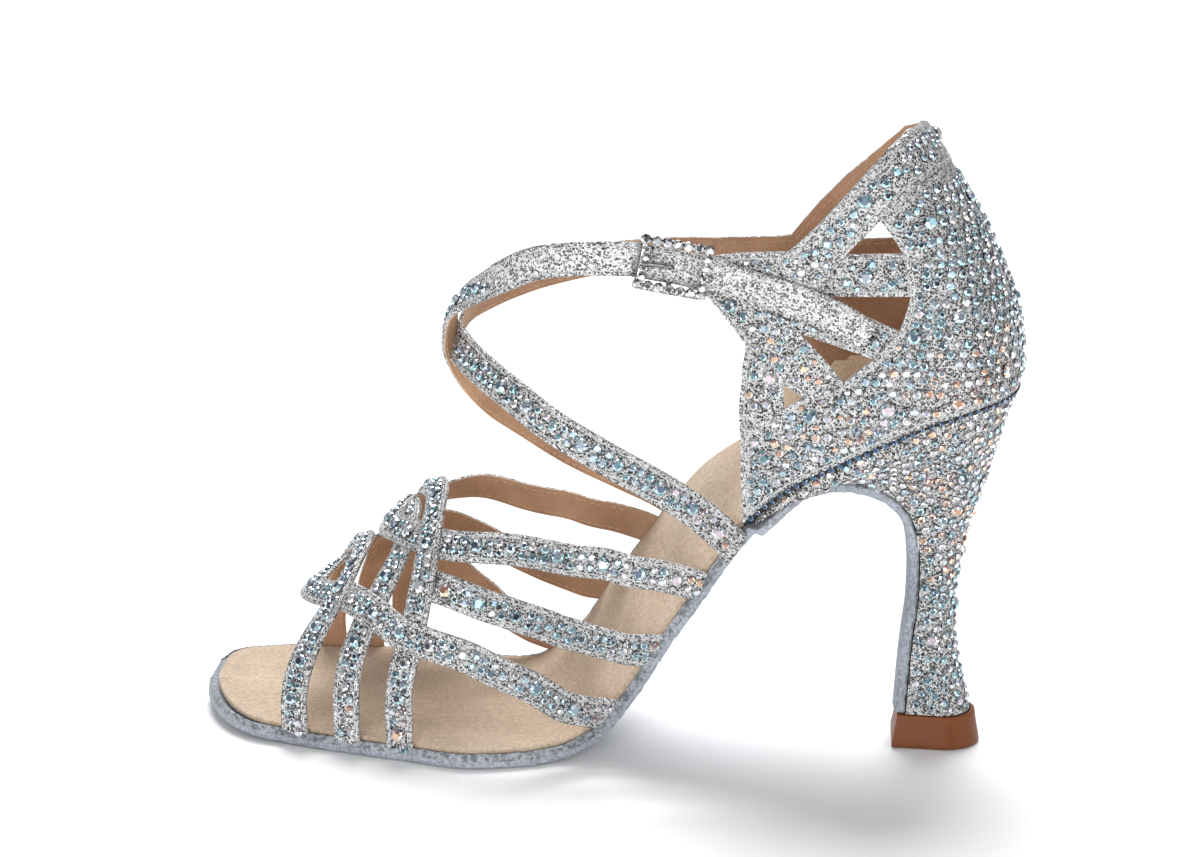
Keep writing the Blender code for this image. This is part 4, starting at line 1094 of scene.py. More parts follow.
# Painted highlight: white tint of facets that face up towards the light
HIGHLIGHT_WHITE = linear(WHITE_TINT)
SMOKE = linear((58, 62, 70))
# Painted shade: near black tint of every stone's girdle, standing for its shaded rim and its contact shadow
# on the cloth
GIRDLE_SHADE = linear((30, 33, 38))


def stone_palette(table, bright, mid):
    """Linear tints of a stone's table, and of its bright and middling facets, from 8-bit ones."""
    tints = {"table": table, "bright": bright, "mid": mid}
    return {name: [linear(colour) for colour in colours] for name, colours in tints.items()}


COOL = stone_palette(
    table=((78, 96, 116), (104, 126, 142), (88, 124, 134), (58, 64, 76), (156, 174, 186)),
    bright=(WHITE_TINT, (220, 238, 242), (164, 224, 230), (200, 212, 232), WHITE_TINT),
    mid=((138, 194, 202), (136, 152, 176), (160, 166, 176), (172, 168, 194), (108, 162, 174)))
PEARL = stone_palette(
    table=((206, 210, 216), (150, 158, 170), (196, 180, 190), (92, 100, 112), (200, 212, 216)),
    bright=(WHITE_TINT, (246, 242, 238), (230, 242, 248), WHITE_TINT, (250, 238, 228)),
    mid=((204, 186, 198), (172, 194, 208), (216, 194, 172), (128, 134, 144), (188, 190, 200)))
WARM = stone_palette(
    table=((176, 128, 104), (190, 150, 120), (118, 104, 116), (214, 182, 150), (104, 116, 134)),
    bright=(WHITE_TINT, (246, 226, 206), (248, 238, 206), (200, 224, 240), WHITE_TINT),
    mid=((222, 150, 100), (186, 132, 128), (170, 150, 168), (134, 158, 186), (110, 112, 124)))
CLEAR = stone_palette(
    table=((228, 230, 232), (70, 72, 76), (170, 172, 176)),
    bright=(WHITE_TINT, (196, 198, 200), WHITE_TINT),
    mid=((110, 112, 114), (44, 45, 48), (150, 152, 152)))
TEAL = stone_palette(
    table=((40, 60, 92), (44, 84, 108), (56, 52, 84)),
    bright=((110, 160, 196), (84, 118, 170), (170, 190, 214)),
    mid=((30, 44, 70), (40, 70, 96), (44, 40, 66)))


def facet_tint(kind, direction, palette, mood):
    """Tint of one facet from its kind and from where it looks on the shoe: painted shade on the girdle, a
    painted reflection of the floor on facets facing down, a painted white highlight on some facets facing up.
    """
    table, bright, mid = palette["table"], palette["bright"], palette["mid"]
    # The girdle takes the painted shade of the stone's rim
    if kind == GIRDLE:
        return GIRDLE_SHADE
    if kind == TABLE:
        return mood.choice(table)
    roll = mood.random()
    # Facets that face down take a painted reflection of the bright floor
    if direction[2] < FLOOR_FACING:
        return mood.choice(bright[:3] if roll < 0.8 else mid[:3])
    if kind == LOW:
        return SMOKE if roll < 0.20 else mood.choice(mid)
    # Facets that face up take a painted white highlight about one time in three
    if direction[2] > LIGHT_FACING:
        return HIGHLIGHT_WHITE if roll < 0.36 else mood.choice(mid)
    return mood.choice(bright if roll < 0.5 else table[:3])


def make_stones(name, places, seed):
    """One piece with every stone of a part; a place is centre, normal, radius and palette."""
    mood = random.Random(seed)
    small, big = unit_stone(SMALL_SIDES), unit_stone(BIG_SIDES)
    points, faces, tints = [], [], []
    for centre, normal, radius, palette in places:
        template, facets = big if radius > BIG_STONE else small
        z = Vector(normal).normalized()
        x = z.orthogonal().normalized()
        y = z.cross(x)
        spin = mood.random() * 2.0 * math.pi
        cos, sin = math.cos(spin), math.sin(spin)
        basis = np.array([x * cos + y * sin, y * cos - x * sin, z])
        first = len(points)
        placed = template * radius @ basis + np.array(centre)
        points += list(placed)
        faces += shifted([face for face, _ in facets], first)
        for face, kind in facets:
            a, b, c = (placed[i] for i in face[:3])
            direction = unit(np.cross(b - a, c - a))
            tint = facet_tint(kind, direction, palette, mood)
            tints += [tint] * len(face)
    stones = make_mesh(name, points, faces, [STONE], smooth_faces=False)
    layer = stones.data.color_attributes.new(name="tint", type="FLOAT_COLOR", domain="CORNER")
    layer.data.foreach_set("color", np.array(tints).ravel())
    return settle(stones, "rhinestone")


# Height that a seat is probed from, how far off it may lie, and the probes round a stone's rim
PROBE_HEIGHT = 3.0 * MM
SEAT_SLACK = 0.7 * MM
RIM_PROBES = 6


class Surroundings:
    """Every cloth surface, for finding where a stone or stitch can sit."""

    def __init__(self, pieces):
        self.trees = {}
        for piece in pieces:
            self.trees[piece.name] = BVHTree.FromObject(piece, bpy.context.evaluated_depsgraph_get())

    def hit(self, origin, direction, reach):
        """Nearest surface on a ray: piece name, place and distance."""
        best = None
        for name, tree in self.trees.items():
            place, _, _, distance = tree.ray_cast(origin, direction, reach)
            if place is not None and (best is None or distance < best[2]):
                best = (name, place, distance)
        return best

    def seat(self, point, normal, radius, allowed, flatness=0.22 * MM):
        """Where a stone sits near a point, or None if something covers it or an edge is near."""
        point, normal = Vector(point), Vector(normal).normalized()
        above = normal * PROBE_HEIGHT
        found = self.hit(point + above, -normal, 2.0 * PROBE_HEIGHT)
        if found is None or found[0] not in allowed or abs(found[2] - PROBE_HEIGHT) > SEAT_SLACK:
            return None
        side = normal.orthogonal().normalized()
        other = normal.cross(side)
        levels = []
        for k in range(RIM_PROBES):
            turn = k * math.pi / (0.5 * RIM_PROBES)
            rim = point + (side * math.cos(turn) + other * math.sin(turn)) * radius
            near = self.hit(rim + above, -normal, 2.0 * PROBE_HEIGHT)
            if near is None or near[0] not in allowed:
                return None
            levels.append(near[2])
        if max(levels) - min(levels) > flatness + 0.25 * radius:
            return None
        return np.array(found[1])


def strap_stones(around, name, line, normals, end, palette, mood):
    """Stones down a strap to a share of its length: one big, then small ones two by two."""
    normals, sides = strap_frame(line, normals)
    lengths = path_lengths(line)
    total = lengths[-1]
    places = []

    def put(distance, across, radius):
        if distance > end * total:
            return
        centre = values_at(distance, lengths, line)
        normal = unit(values_at(distance, lengths, normals))
        side = unit(values_at(distance, lengths, sides))
        top = centre + normal * 0.5 * VISUAL_STRAP + side * across
        seat = around.seat(top, normal, radius, (name,))
        if seat is not None:
            low = seat - normal * STONE_SINK * MM
            places.append((low, normal, radius, palette(distance / total, mood)))

    spread = 1.30 * MM
    at = 0.0
    while at < end * total:
        big = mood.choice(BIG_RADII) * MM
        at += big
        put(at, mood.uniform(-0.35, 0.35) * MM, big)
        at += big + 0.35 * MM
        for _ in range(mood.choice((2, 2, 2, 3))):
            small = mood.choice(SMALL_RADII) * MM
            at += small
            put(at + mood.uniform(-0.25, 0.25) * MM, -spread, small)
            put(at + mood.uniform(-0.25, 0.25) * MM, spread, small)
            at += small + mood.uniform(0.2, 0.5) * MM
        at += 0.25 * MM
    return places


# Stitches

# Sections of a stitch: way along it, width, and height over the cloth in radii of the thread
STITCH_ALONG = np.array((0.0, 0.12, 0.5, 0.88, 1.0))
STITCH_WIDTH = (0.35, 0.9, 1.0, 0.9, 0.35)
STITCH_RISE = (-0.9, 0.0, 0.25, 0.0, -0.9)
THREAD_SIDES = 6
THREAD_RADIUS = 0.13 * MM


def make_stitches(name, runs, thread, dash, gap, material_slot):
    """Sewn dashes along runs of points with normals, each dash a thin tapered thread."""
    points, faces = [], []
    radius = THREAD_RADIUS
    for path, normals in runs:
        lengths = path_lengths(path)
        at = gap
        while at + dash < lengths[-1]:
            rows = at + dash * STITCH_ALONG
            spots = values_at(rows, lengths, path)
            ups = unit(values_at(rows, lengths, normals))
            forward = unit(spots[-1] - spots[0])
            faces += shifted(ring_faces(len(rows), THREAD_SIDES), len(points))
            for spot, up, scale, rise in zip(spots, ups, STITCH_WIDTH, STITCH_RISE):
                side = unit(np.cross(forward, up))
                for cosine, sine in circle(THREAD_SIDES):
                    points.append(spot + up * radius * (rise + scale * sine)
                                  + side * radius * scale * cosine)
            at += dash + gap
    return settle(make_mesh(name, points, faces, [thread]), material_slot)


def strap_runs(line, normals, across, lift, start, end):
    """A line beside a strap's middle, on its outer or inner face."""
    normals, sides = strap_frame(line, normals)
    first, last = int(start * (len(line) - 1)), int(end * (len(line) - 1)) + 1
    path = line + sides * across + normals * lift
    return path[first:last], normals[first:last] * (1.0 if lift > 0.0 else -1.0)


# Flat patterns on the quarter

def inside_many(points, outline):
    """Which points lie inside a closed outline."""
    outline = np.asarray(outline, float)
    hit = np.zeros(len(points), bool)
    x, y = points[:, 0], points[:, 1]
    for a, b in zip(outline, np.roll(outline, 1, axis=0)):
        crosses = (a[1] > y) != (b[1] > y)
        with np.errstate(divide="ignore", invalid="ignore"):
            at = (b[0] - a[0]) * (y - a[1]) / (b[1] - a[1]) + a[0]
        hit ^= crosses & (x < at)
    return hit


def inside_pattern(points, outline, holes):
    """Which points lie inside an outline and outside its cut-outs."""
    keep = inside_many(points, outline)
    for hole in holes:
        keep &= ~inside_many(points, hole)
    return keep


def edge_distance(points, loops):
    """Distance of points from the nearest side of any loop."""
    best = np.full(len(points), 1.0)
    for loop in loops:
        loop = np.asarray(loop, float)
        for a, b in zip(loop, np.roll(loop, -1, axis=0)):
            run = b - a
            share = np.clip(((points - a) @ run) / max(float(run @ run), 1e-12), 0.0, 1.0)
            best = np.minimum(best, np.linalg.norm(points - (a + share[:, None] * run), axis=1))
    return best


def fine_pattern(outline, holes, step):
    """Points and triangles of a flat pattern, with its outline cut to short runs."""
    loops = [subdivided(loop, step) for loop in [outline] + holes]
    flat, edges = [], []
    for loop in loops:
        first = len(flat)
        flat += [tuple(point) for point in loop]
        edges += [(first + i, first + (i + 1) % len(loop)) for i in range(len(loop))]
    rim = np.array(flat)
    low, high = rim.min(axis=0), rim.max(axis=0)
    rows = []
    for i, y in enumerate(np.arange(low[1] + step, high[1], step * math.sqrt(0.75))):
        row = np.arange(low[0] + step * (0.5 if i % 2 else 0.0), high[0], step)
        rows.append(np.stack((row, np.full(len(row), y)), axis=1))
    grid = np.concatenate(rows)
    keep = inside_pattern(grid, outline, holes) & (edge_distance(grid, [outline] + holes) > 0.6 * step)
    flat += [tuple(point) for point in grid[keep]]
    result = delaunay_2d_cdt([Vector(point) for point in flat], edges, [], 0, 1e-7)
    places = np.array([tuple(point) for point in result[0]])
    triangles = np.array([face for face in result[2] if len(face) == 3])
    middles = places[triangles].mean(axis=1)
    return places, triangles[inside_pattern(middles, outline, holes)]


# Slots of a wall's materials: outer face, its border, inner face, rim and the inner face's low part
FACE, BORDER_FACE, INSIDE, WALL_RIM, LOW_INSIDE = range(5)

# Distance from its edges at which a wall's outer face rounds off
EDGE_REACH = 0.35 * MM


def wall_shell(name, outline, holes, step, outer, inner, materials, border):
    """A closed wall over a flat pattern between two offsets from the quarter's middle surface."""
    places, triangles = fine_pattern(outline, holes, step)
    used = np.unique(triangles)
    index = {int(old): new for new, old in enumerate(used)}
    flat = places[used]
    distance = edge_distance(flat, [outline] + holes)
    ease = np.clip(1.0 - distance / EDGE_REACH, 0.0, 1.0) * 0.16 * MM
    points = [wall_point(w, z, outer - e) for (w, z), e in zip(flat, ease)]
    points += [wall_point(w, z, inner) for w, z in flat]
    count = len(used)
    faces, slots, sides = [], [], set()
    for triangle in triangles:
        a = [index[int(i)] for i in triangle]
        near = distance[a].mean() < border
        faces.append(tuple(a))
        slots.append(BORDER_FACE if near else FACE)
        faces.append(tuple(i + count for i in reversed(a)))
        w, z = flat[a].mean(axis=0)
        slots.append(LOW_INSIDE if z < low_lining(w) else INSIDE)
        for i in range(3):
            sides.add((a[i], a[(i + 1) % 3]))
    for start, end in sides:
        if (end, start) not in sides:
            faces.append((end, start, start + count, end + count))
            slots.append(WALL_RIM)
    return sharpen(outward(make_mesh(name, points, faces, materials, slots)), 55.0)


LOW_WRAPS = np.linspace(-80.0, 80.0, 81) * MM
LOW_LEVELS = np.array([lower_edge_z(float(w)) for w in LOW_WRAPS]) + 11.0 * MM


def low_lining(wrap):
    """Height up to which the cup is lined in pale suede, whose colour is raised to near white as painted
    light inside the shaded cup.
    """
    return float(np.interp(wrap, LOW_WRAPS, LOW_LEVELS))


# Inner edge of the topline strip, and upper edge of the counter down to the seam, along and up
TOPLINE_INNER = {
    "lateral": ((0.268, 1.430), (0.235, 1.412), (0.204, 1.551),
                (0.166, 1.690), (0.128, 1.800), (0.100, 1.850)),
    "medial": ((0.270, 1.372), (0.235, 1.337), (0.206, 1.462),
               (0.170, 1.600), (0.128, 1.760), (0.100, 1.815)),
}
COUNTER_EDGE = {
    "lateral": ((0.098, 1.862), (0.126, 1.808), (0.164, 1.697), (0.137, 1.560), (0.127, 1.400),
                (0.139, 1.268), (0.168, 1.159), (0.203, 1.062)),
    "medial": ((0.098, 1.825), (0.126, 1.768), (0.167, 1.608), (0.137, 1.462), (0.127, 1.335),
               (0.139, 1.240), (0.168, 1.060), (0.203, 1.013)),
}
COUNTER_FRONT = ((0.249, 0.998), (0.272, 0.963), (0.300, 0.925), (0.3195, 0.900))


def topline_outline(side):
    """Flat pattern of the raised strip along the collar's rim on one side."""
    name = "lateral" if side < 0 else "medial"
    edge = list(zip(COLLAR_EDGE["along"], COLLAR_EDGE[name]))[:8]
    places = pattern_places(edge + list(TOPLINE_INNER[name]), side)
    return [(0.0, float(up_z(2.0)))] + places + [(0.0, float(up_z(1.845)))]


def counter_outline():
    """Flat pattern of the raised counter round the heel."""
    left, right = (pattern_places(COUNTER_EDGE[name] + COUNTER_FRONT, side) for side, name in SIDES)
    wraps = np.linspace(left[-1][0], right[-1][0], 60)
    seam_line = [(float(wrap), lower_edge_z(float(wrap))) for wrap in wraps]
    return [(0.0, float(up_z(1.90)))] + left + seam_line + right[::-1]


def make_quarter_pieces():
    """Heel cup with its lining, the raised topline strips and the raised counter."""
    half = 0.5 * QUARTER_WALL
    cloth = [GLITTER, BORDER, BORDER, GLITTER, BORDER]
    shell = wall_shell("quarter_cloth", quarter_outline(), cutout_outlines(), 1.5 * MM, half - 0.25 * MM,
                       -half + 0.1 * MM, [GLITTER, BORDER, LINING, GLITTER, PALE_PAINTED_LIGHT_LINING], 1.3 * MM)
    pieces = [settle(shell, "glitter_cover", "quarter")]
    for side, name in SIDES:
        strip = wall_shell(f"topline_{name}", topline_outline(side), [], 1.3 * MM, half + 0.40 * MM,
                           half - 0.3 * MM, cloth, 1.5 * MM)
        pieces.append(settle(strip, "glitter_cover"))
    counter = wall_shell("counter_cloth", counter_outline(), [], 1.5 * MM, half + 0.10 * MM,
                         half - 0.35 * MM, cloth, 1.3 * MM)
    pieces.append(settle(counter, "glitter_cover"))
    return pieces


# Sole, sock and heel

def rounded_slab(count_across, edge):
    """Ring of a thin slab as side from -1 to 1 and depth from 0 to 1, with round edges."""
    top = np.linspace(-1.0, 1.0, count_across)
    turns = np.linspace(0.0, math.pi, 7)[1:-1]
    ring = [(t, 0.0, 0.0) for t in top]
    ring += [(1.0, 0.5 - 0.5 * math.cos(t), math.sin(t)) for t in turns]
    ring += [(t, 1.0, 0.0) for t in top[::-1]]
    ring += [(-1.0, 0.5 + 0.5 * math.cos(t), math.sin(t)) for t in turns]
    return [(side, depth, bulge * edge) for side, depth, bulge in ring]


def slab_rings(stations, count_across, edge):
    """Points of a slab through stations of left, right, normal, thickness and crown."""
    shape = rounded_slab(count_across, edge)
    points = []
    for left, right, normal, thickness, crown in stations:
        middle = 0.5 * (left + right)
        half = 0.5 * (right - left)
        out = unit(half)
        inset = out * edge
        for side, depth, bulge in shape:
            curve = crown * (1.0 - side * side) - crown
            points.append(middle + (half - inset) * side + out * math.copysign(bulge, side)
                          - normal * (depth * thickness + curve))
    return points, len(shape)


def sock_relief(place):
    """Soft hollows and ripples of the padded sock, as a height."""
    x, y = place[0], place[1]
    along = (HEEL_END - x) / BED_LENGTH
    arch = math.exp(-((along - 0.42) / 0.13) ** 2)
    ripple = 0.28 * MM * arch * math.sin(along * 95.0 + y * 160.0 + 1.2 * math.sin(y * 90.0))
    trough = -0.45 * MM * math.exp(-((y + 0.008) / 0.010) ** 2) * math.exp(-((along - 0.66) / 0.12) ** 2)
    wave = 0.10 * MM * math.sin(x * 310.0 + y * 120.0) * math.sin(y * 260.0)
    return ripple + trough + wave


def make_sock():
    """Suede sock with a round edge and soft ripples."""
    stations = []
    for along in round_places(0.004, 0.997, 230):
        left, right = bed_edges(along)
        stations.append((left, right, bed_normal(along), INSOLE_THICKNESS, 0.0))
    across = 45
    points, count = slab_rings(stations, across, 0.7 * MM)
    for r, station in enumerate(stations):
        for i in range(1, across - 1):
            point = points[r * count + i]
            fade = min(1.0, min(i, across - 1 - i) / 6.0)
            points[r * count + i] = point + station[2] * sock_relief(point) * fade
    faces = ring_faces(len(stations), count)
    return settle(outward(make_mesh("sock", points, faces, [SOCK])), "sock", "insole")


def fuzz(point, seed):
    """Uneven cut of the suede edge."""
    x, y, z = point * 1000.0
    return (math.sin(x * 1.9 + seed) * math.sin(y * 2.3 + z * 1.1)
            + 0.6 * math.sin(x * 5.3 + y * 4.1 + z * 3.7)
            + 0.5 * math.sin(x * 9.7 - y * 8.1 + seed))


# Section of the sole's rim: way in from the edge with its rise, then with its share of the thickness
RIM_SECTION = ((1.45, 0.00), (1.20, 0.35), (1.00, 0.85), (0.70, 1.15), (0.35, 1.10), (0.08, 0.72),
               (-0.08, 0.20))
RIM_FOOT = ((-0.12, 0.25), (-0.05, 0.55), (0.12, 0.80), (0.45, 0.96), (0.90, 1.00))
RIM_POINTS = len(RIM_SECTION) + len(RIM_FOOT)
SOLE_FLAT = 11

# Last points of the rim that belong to the flat bottom's suede, and the fuzz on the edge, in mm
RIM_BOTTOM = 4
FUZZ = 0.10


def sole_ring(left, right, normal, thickness, crown, lip):
    """One ring of the outsole: flat top, raised rim, rounded edge and flat bottom."""
    middle = 0.5 * (left + right)
    reach = 0.5 * np.linalg.norm(right - left)
    out = unit(right - left)
    ring = []
    flat = np.linspace(-1.0, 1.0, SOLE_FLAT) * (reach - 1.9 * MM)

    def add(across, height):
        bow = crown * (across / reach) ** 2
        ring.append(middle + out * across + normal * (height + bow))

    for across in flat:
        add(across, 0.0)
    for inset, height in RIM_SECTION:
        add(reach - inset * MM, height * MM * lip)
    for inset, share in RIM_FOOT:
        add(reach - inset * MM, -share * thickness)
    for across in flat[::-1]:
        add(across, -thickness)
    for inset, share in RIM_FOOT[::-1]:
        add(-reach + inset * MM, -share * thickness)
    for inset, height in RIM_SECTION[::-1]:
        add(-reach + inset * MM, height * MM * lip)
    return ring


def make_sole():
    """Suede outsole, its rim raised round the strap ends, with the flap down the heel's breast."""
    rings = []
    for along in round_places(0.997, 0.0, 420):
        if along < 0.350:
            break
        left, right = bed_edges(along, SOLE_MARGIN)
        normal = bed_normal(along)
        drop = normal * (INSOLE_THICKNESS + FIT)
        thin = min(1.0, max(0.0, (0.60 - along) / 0.12))
        thickness = OUTSOLE_THICKNESS + (SHANK_THICKNESS - OUTSOLE_THICKNESS) * thin
        lip = min(1.0, max(0.0, (along - 0.352) / 0.02)) * min(1.0, max(0.35, (0.998 - along) / 0.01))
        ring = sole_ring(left - drop, right - drop, normal, thickness, 0.0, lip)
        rings.append((ring, normal, unit(right - left)))
    path = breast_path(110)
    normals = path_normals(path)
    bottom = TIP_HEIGHT + 2.0 * FIT
    for i, (place, normal) in enumerate(zip(path, normals)):
        breast = i / (len(path) - 1)
        half = heel_front_half(breast) - FLAP_INSET
        skew = breast_skew(BREAST["along"][0], breast)
        bulge = FLAP_BULGE * min(1.0, breast / 0.3)
        up = np.array((normal[0], 0.0, normal[1]))
        top = np.array((place[0], 0.0, place[1])) + up * FLAP_THICKNESS
        top[2] = max(top[2], bottom)
        left = top + np.array((skew * half, -half, 0.0))
        right = top + np.array((-skew * half, half, 0.0))
        ring = sole_ring(left, right, up, FLAP_THICKNESS, bulge, 0.0)
        rings.append((ring, up, unit(right - left)))
    count = len(rings[0][0])
    near = range(SOLE_FLAT, SOLE_FLAT + RIM_POINTS)
    far = range(count - RIM_POINTS, count)
    points = []
    for ring, normal, out in rings:
        for i, point in enumerate(ring):
            if i in near or i in far:
                away = out if i in near else -out
                point = (point + away * FUZZ * MM * fuzz(point, 1.7)
                         + normal * FUZZ * MM * fuzz(point, 4.1))
            points.append(point)
    faces = ring_faces(len(rings), count)
    rough = set(near[:-RIM_BOTTOM]) | set(far[RIM_BOTTOM:])
    slots = [int(number % count in rough) for number in range(len(faces))]
    return settle(outward(make_mesh("sole", points, faces, [SOLE, SOLE_RIM], slots)), "suede_sole", "outsole")


def heel_ring_points(step, shares):
    """One ring of the heel block: across from its front to its back."""
    row = heel_row(step)
    half = heel_half(row)
    front = heel_front([row["breast"]])[0]
    back = np.array((float(along_x(row["back"])), float(up_z(row["up"]))))
    bottom = TIP_HEIGHT + FIT
    front[1] = max(front[1], bottom)
    back[1] = max(back[1], bottom)
    if step == 1.0:
        front[1] = back[1] = bottom
    length = np.linalg.norm(back - front)
    left, right = [], []
    for share in shares:
        place = front + (back - front) * share
        blend = 1.0 - row["column"]
        width = half * (blend * seat_profile(share * 0.985)
                        + row["column"] * column_profile(share * 0.995, length, half))
        sag = seat_height(share) * blend * max(0.0, 1.0 - 3.0 * step)
        skew = breast_skew(HEEL_FRONT * (1.0 - share), row["breast"])
        left.append(np.array((place[0] + skew * width, -width, place[1] + sag)))
        right.append(np.array((place[0] - skew * width, width, place[1] + sag)))
    return left + right[::-1]


def make_heel_cover():
    """Glitter cover of the heel block."""
    shares = round_places(0.0, 1.0, 40)
    rings = [heel_ring_points(step, shares) for step in np.linspace(0.0, 1.0, 90)]
    rings[0] = seat_ring(shares)
    count = len(rings[0])
    points = [point for ring in rings for point in ring]
    faces = ring_faces(len(rings), count, caps=False)
    for first in (0, (len(rings) - 1) * count):
        faces += [(first + i, first + i + 1, first + count - 2 - i, first + count - 1 - i)
                  for i in range(count // 2 - 1)]
    piece = sharpen(outward(make_mesh("heel_cover", points, faces, [GLITTER])), 60.0)
    return settle(piece, "glitter_cover", "heel")


# Rings of the top piece: height and share of its flare
TIP_RINGS = ((0.0, 0.55), (0.00015, 0.85), (0.0005, 1.0), (0.001, 0.97), (TIP_HEIGHT * 0.5, 0.45),
             (TIP_HEIGHT * 0.8, 0.12), (TIP_HEIGHT - 0.0008, 0.0), (TIP_HEIGHT - 0.0003, -0.04),
             (TIP_HEIGHT - 0.0001, -0.12), (TIP_HEIGHT, -0.3))


def make_tip():
    """Polished top piece of the heel, flared to the floor."""
    points = []
    shares = round_places(0.0, 1.0, 40)
    for height, flare in TIP_RINGS:
        grow = TIP_FLARE * flare
        half = 0.5 * HEEL_FOOT_WIDTH + grow
        front = -TIP_FRONT + TIP_FLARE - grow
        length = TIP_BACK - TIP_FLARE + grow - front
        side = [(front + length * share, half * column_profile(share * 0.995, length, half), height)
                for share in shares]
        points += [(x, -y, z) for x, y, z in side] + side[::-1]
    faces = ring_faces(len(TIP_RINGS), 2 * len(shares))
    piece = sharpen(outward(make_mesh("top_piece", points, faces, [TIP])), 50.0)
    return settle(piece, "top_piece", "heel_tip")


TUBE_SIDES = 10


def tube(name, path, radius, material):
    """Round cord along a path."""
    tangents = unit(np.gradient(path, axis=0))
    up = np.array((0.0, 0.0, 1.0))
    points = []
    for place, tangent in zip(path, tangents):
        side = unit(np.cross(tangent, up))
        over = np.cross(side, tangent)
        points += [place + radius * (side * cosine + over * sine) for cosine, sine in circle(TUBE_SIDES)]
    return outward(make_mesh(name, points, ring_faces(len(path), TUBE_SIDES), [material]))


# Buckle

# Radius of the frame's corners, in mm
CORNER_RADIUS = 1.2

# Points round a bar and the power that squares its section
BAR_SIDES = 12
BAR_POWER = 0.6

# Bar behind the strap: points along it and its share of the frame's thickness
BACK_POINTS = 12
BACK_SHARE = 0.8


def make_buckle_piece(frame_axes):
    """Chrome frame with round bars, and the bar behind the strap."""
    middle, tangent, side, normal = frame_axes
    reach = 0.5 * BUCKLE_LENGTH
    inner = 0.5 * ANKLE_STRAP_WIDTH + BUCKLE_ROOM
    outer = inner + BUCKLE_BAR
    front = 0.5 * STRAP_THICKNESS + FIT
    bar = 0.5 * BUCKLE_BAR
    corners = [(-reach + bar, -outer + bar), (reach - bar, -outer + bar), (reach - bar, outer - bar),
               (-reach + bar, outer - bar)]
    path = []
    corners = [np.array(corner) for corner in corners]
    for k, corner in enumerate(corners):
        before, after = corners[k - 1], corners[(k + 1) % 4]
        start = corner + unit(before - corner) * CORNER_RADIUS * MM
        end = corner + unit(after - corner) * CORNER_RADIUS * MM
        for t in np.linspace(0.0, 1.0, 7):
            path.append((1 - t) ** 2 * start + 2 * t * (1 - t) * corner + t * t * end)
    points = []
    count = len(path)
    for k, place in enumerate(path):
        forward = unit(path[(k + 1) % count] - path[k - 1])
        out = tangent * forward[1] + side * -forward[0]
        base = middle + tangent * place[0] + side * place[1] + normal * (front + bar)
        for cosine, sine in circle(BAR_SIDES):
            reach_out = out * signed_power(cosine, BAR_POWER)
            points.append(base + bar * (reach_out + normal * signed_power(sine, BAR_POWER)))
    faces = ring_faces(count, BAR_SIDES, caps=False, closed=True)
    faces += shifted(ring_faces(BACK_POINTS, BAR_SIDES), len(points))
    depth = -0.5 * STRAP_THICKNESS - FIT - bar
    for s in np.linspace(-outer + 0.2 * MM, outer - 0.2 * MM, BACK_POINTS):
        lift = (abs(s) / outer) ** 6 * (front + 2 * bar - depth) * 0.6
        for cosine, sine in circle(BAR_SIDES):
            points.append(middle + side * s + tangent * bar * BACK_SHARE * cosine
                          + normal * (depth + lift + bar * BACK_SHARE * sine))
    return settle(outward(make_mesh("buckle_chrome", points, faces, [CHROME])), "buckle_metal", "buckle")


def buckle_stones(frame_axes):
    """Clear stones set side by side along the frame's top, right and bottom bars."""
    middle, tangent, side, normal = frame_axes
    reach = 0.5 * BUCKLE_LENGTH - 0.5 * BUCKLE_BAR
    wide = 0.5 * ANKLE_STRAP_WIDTH + BUCKLE_ROOM + 0.5 * BUCKLE_BAR
    lift = 0.5 * STRAP_THICKNESS + FIT + BUCKLE_BAR - 0.25 * MM
    places = []
    for t in np.linspace(-reach, reach, 7):
        for s in (-wide + 0.5 * MM, wide):
            places.append((middle + tangent * t + side * s + normal * lift, normal, 1.32 * MM, CLEAR))
    for s in np.linspace(-wide, wide, 6)[1:-1]:
        for t in (-reach + 0.7 * MM, reach):
            places.append((middle + tangent * t + side * s + normal * lift, normal, 1.16 * MM, CLEAR))
    return places


# Palettes by place

def vamp_palette(share, mood):
    """Cool stones on a band, warmer ones near its ends."""
    ends = min(share, 1.0 - share)
    if ends < 0.10:
        return mood.choice((WARM, PEARL, PEARL, COOL))
    return mood.choice((COOL, COOL, COOL, COOL, PEARL))


def cool_palette(_, mood):
    """Cool stones all along."""
    return mood.choice((COOL, COOL, COOL, PEARL))


# Heights at which the palette changes: top, middle and low
CUP_LEVELS = (0.113, 0.103, 0.080)
HEEL_LEVELS = (0.2, 0.2, 0.045)


def height_palette(place, mood, top, middle, low):
    """Cool stones above the top level, more pearl and warm ones below it, cooler below the low one."""
    z = place[2]
    if z > top:
        return mood.choice((COOL, COOL, COOL, PEARL))
    if z > middle:
        return mood.choice((COOL, COOL, PEARL, PEARL, WARM))
    if z > low:
        return mood.choice((PEARL, PEARL, WARM, WARM, COOL, COOL))
    return mood.choice((COOL, COOL, PEARL))


# Trials on the heel cup: big stones, tried before the rows, and small ones that fill the gaps after
QUARTER_BIG_TRIALS = 260
QUARTER_FILL_TRIALS = 16000


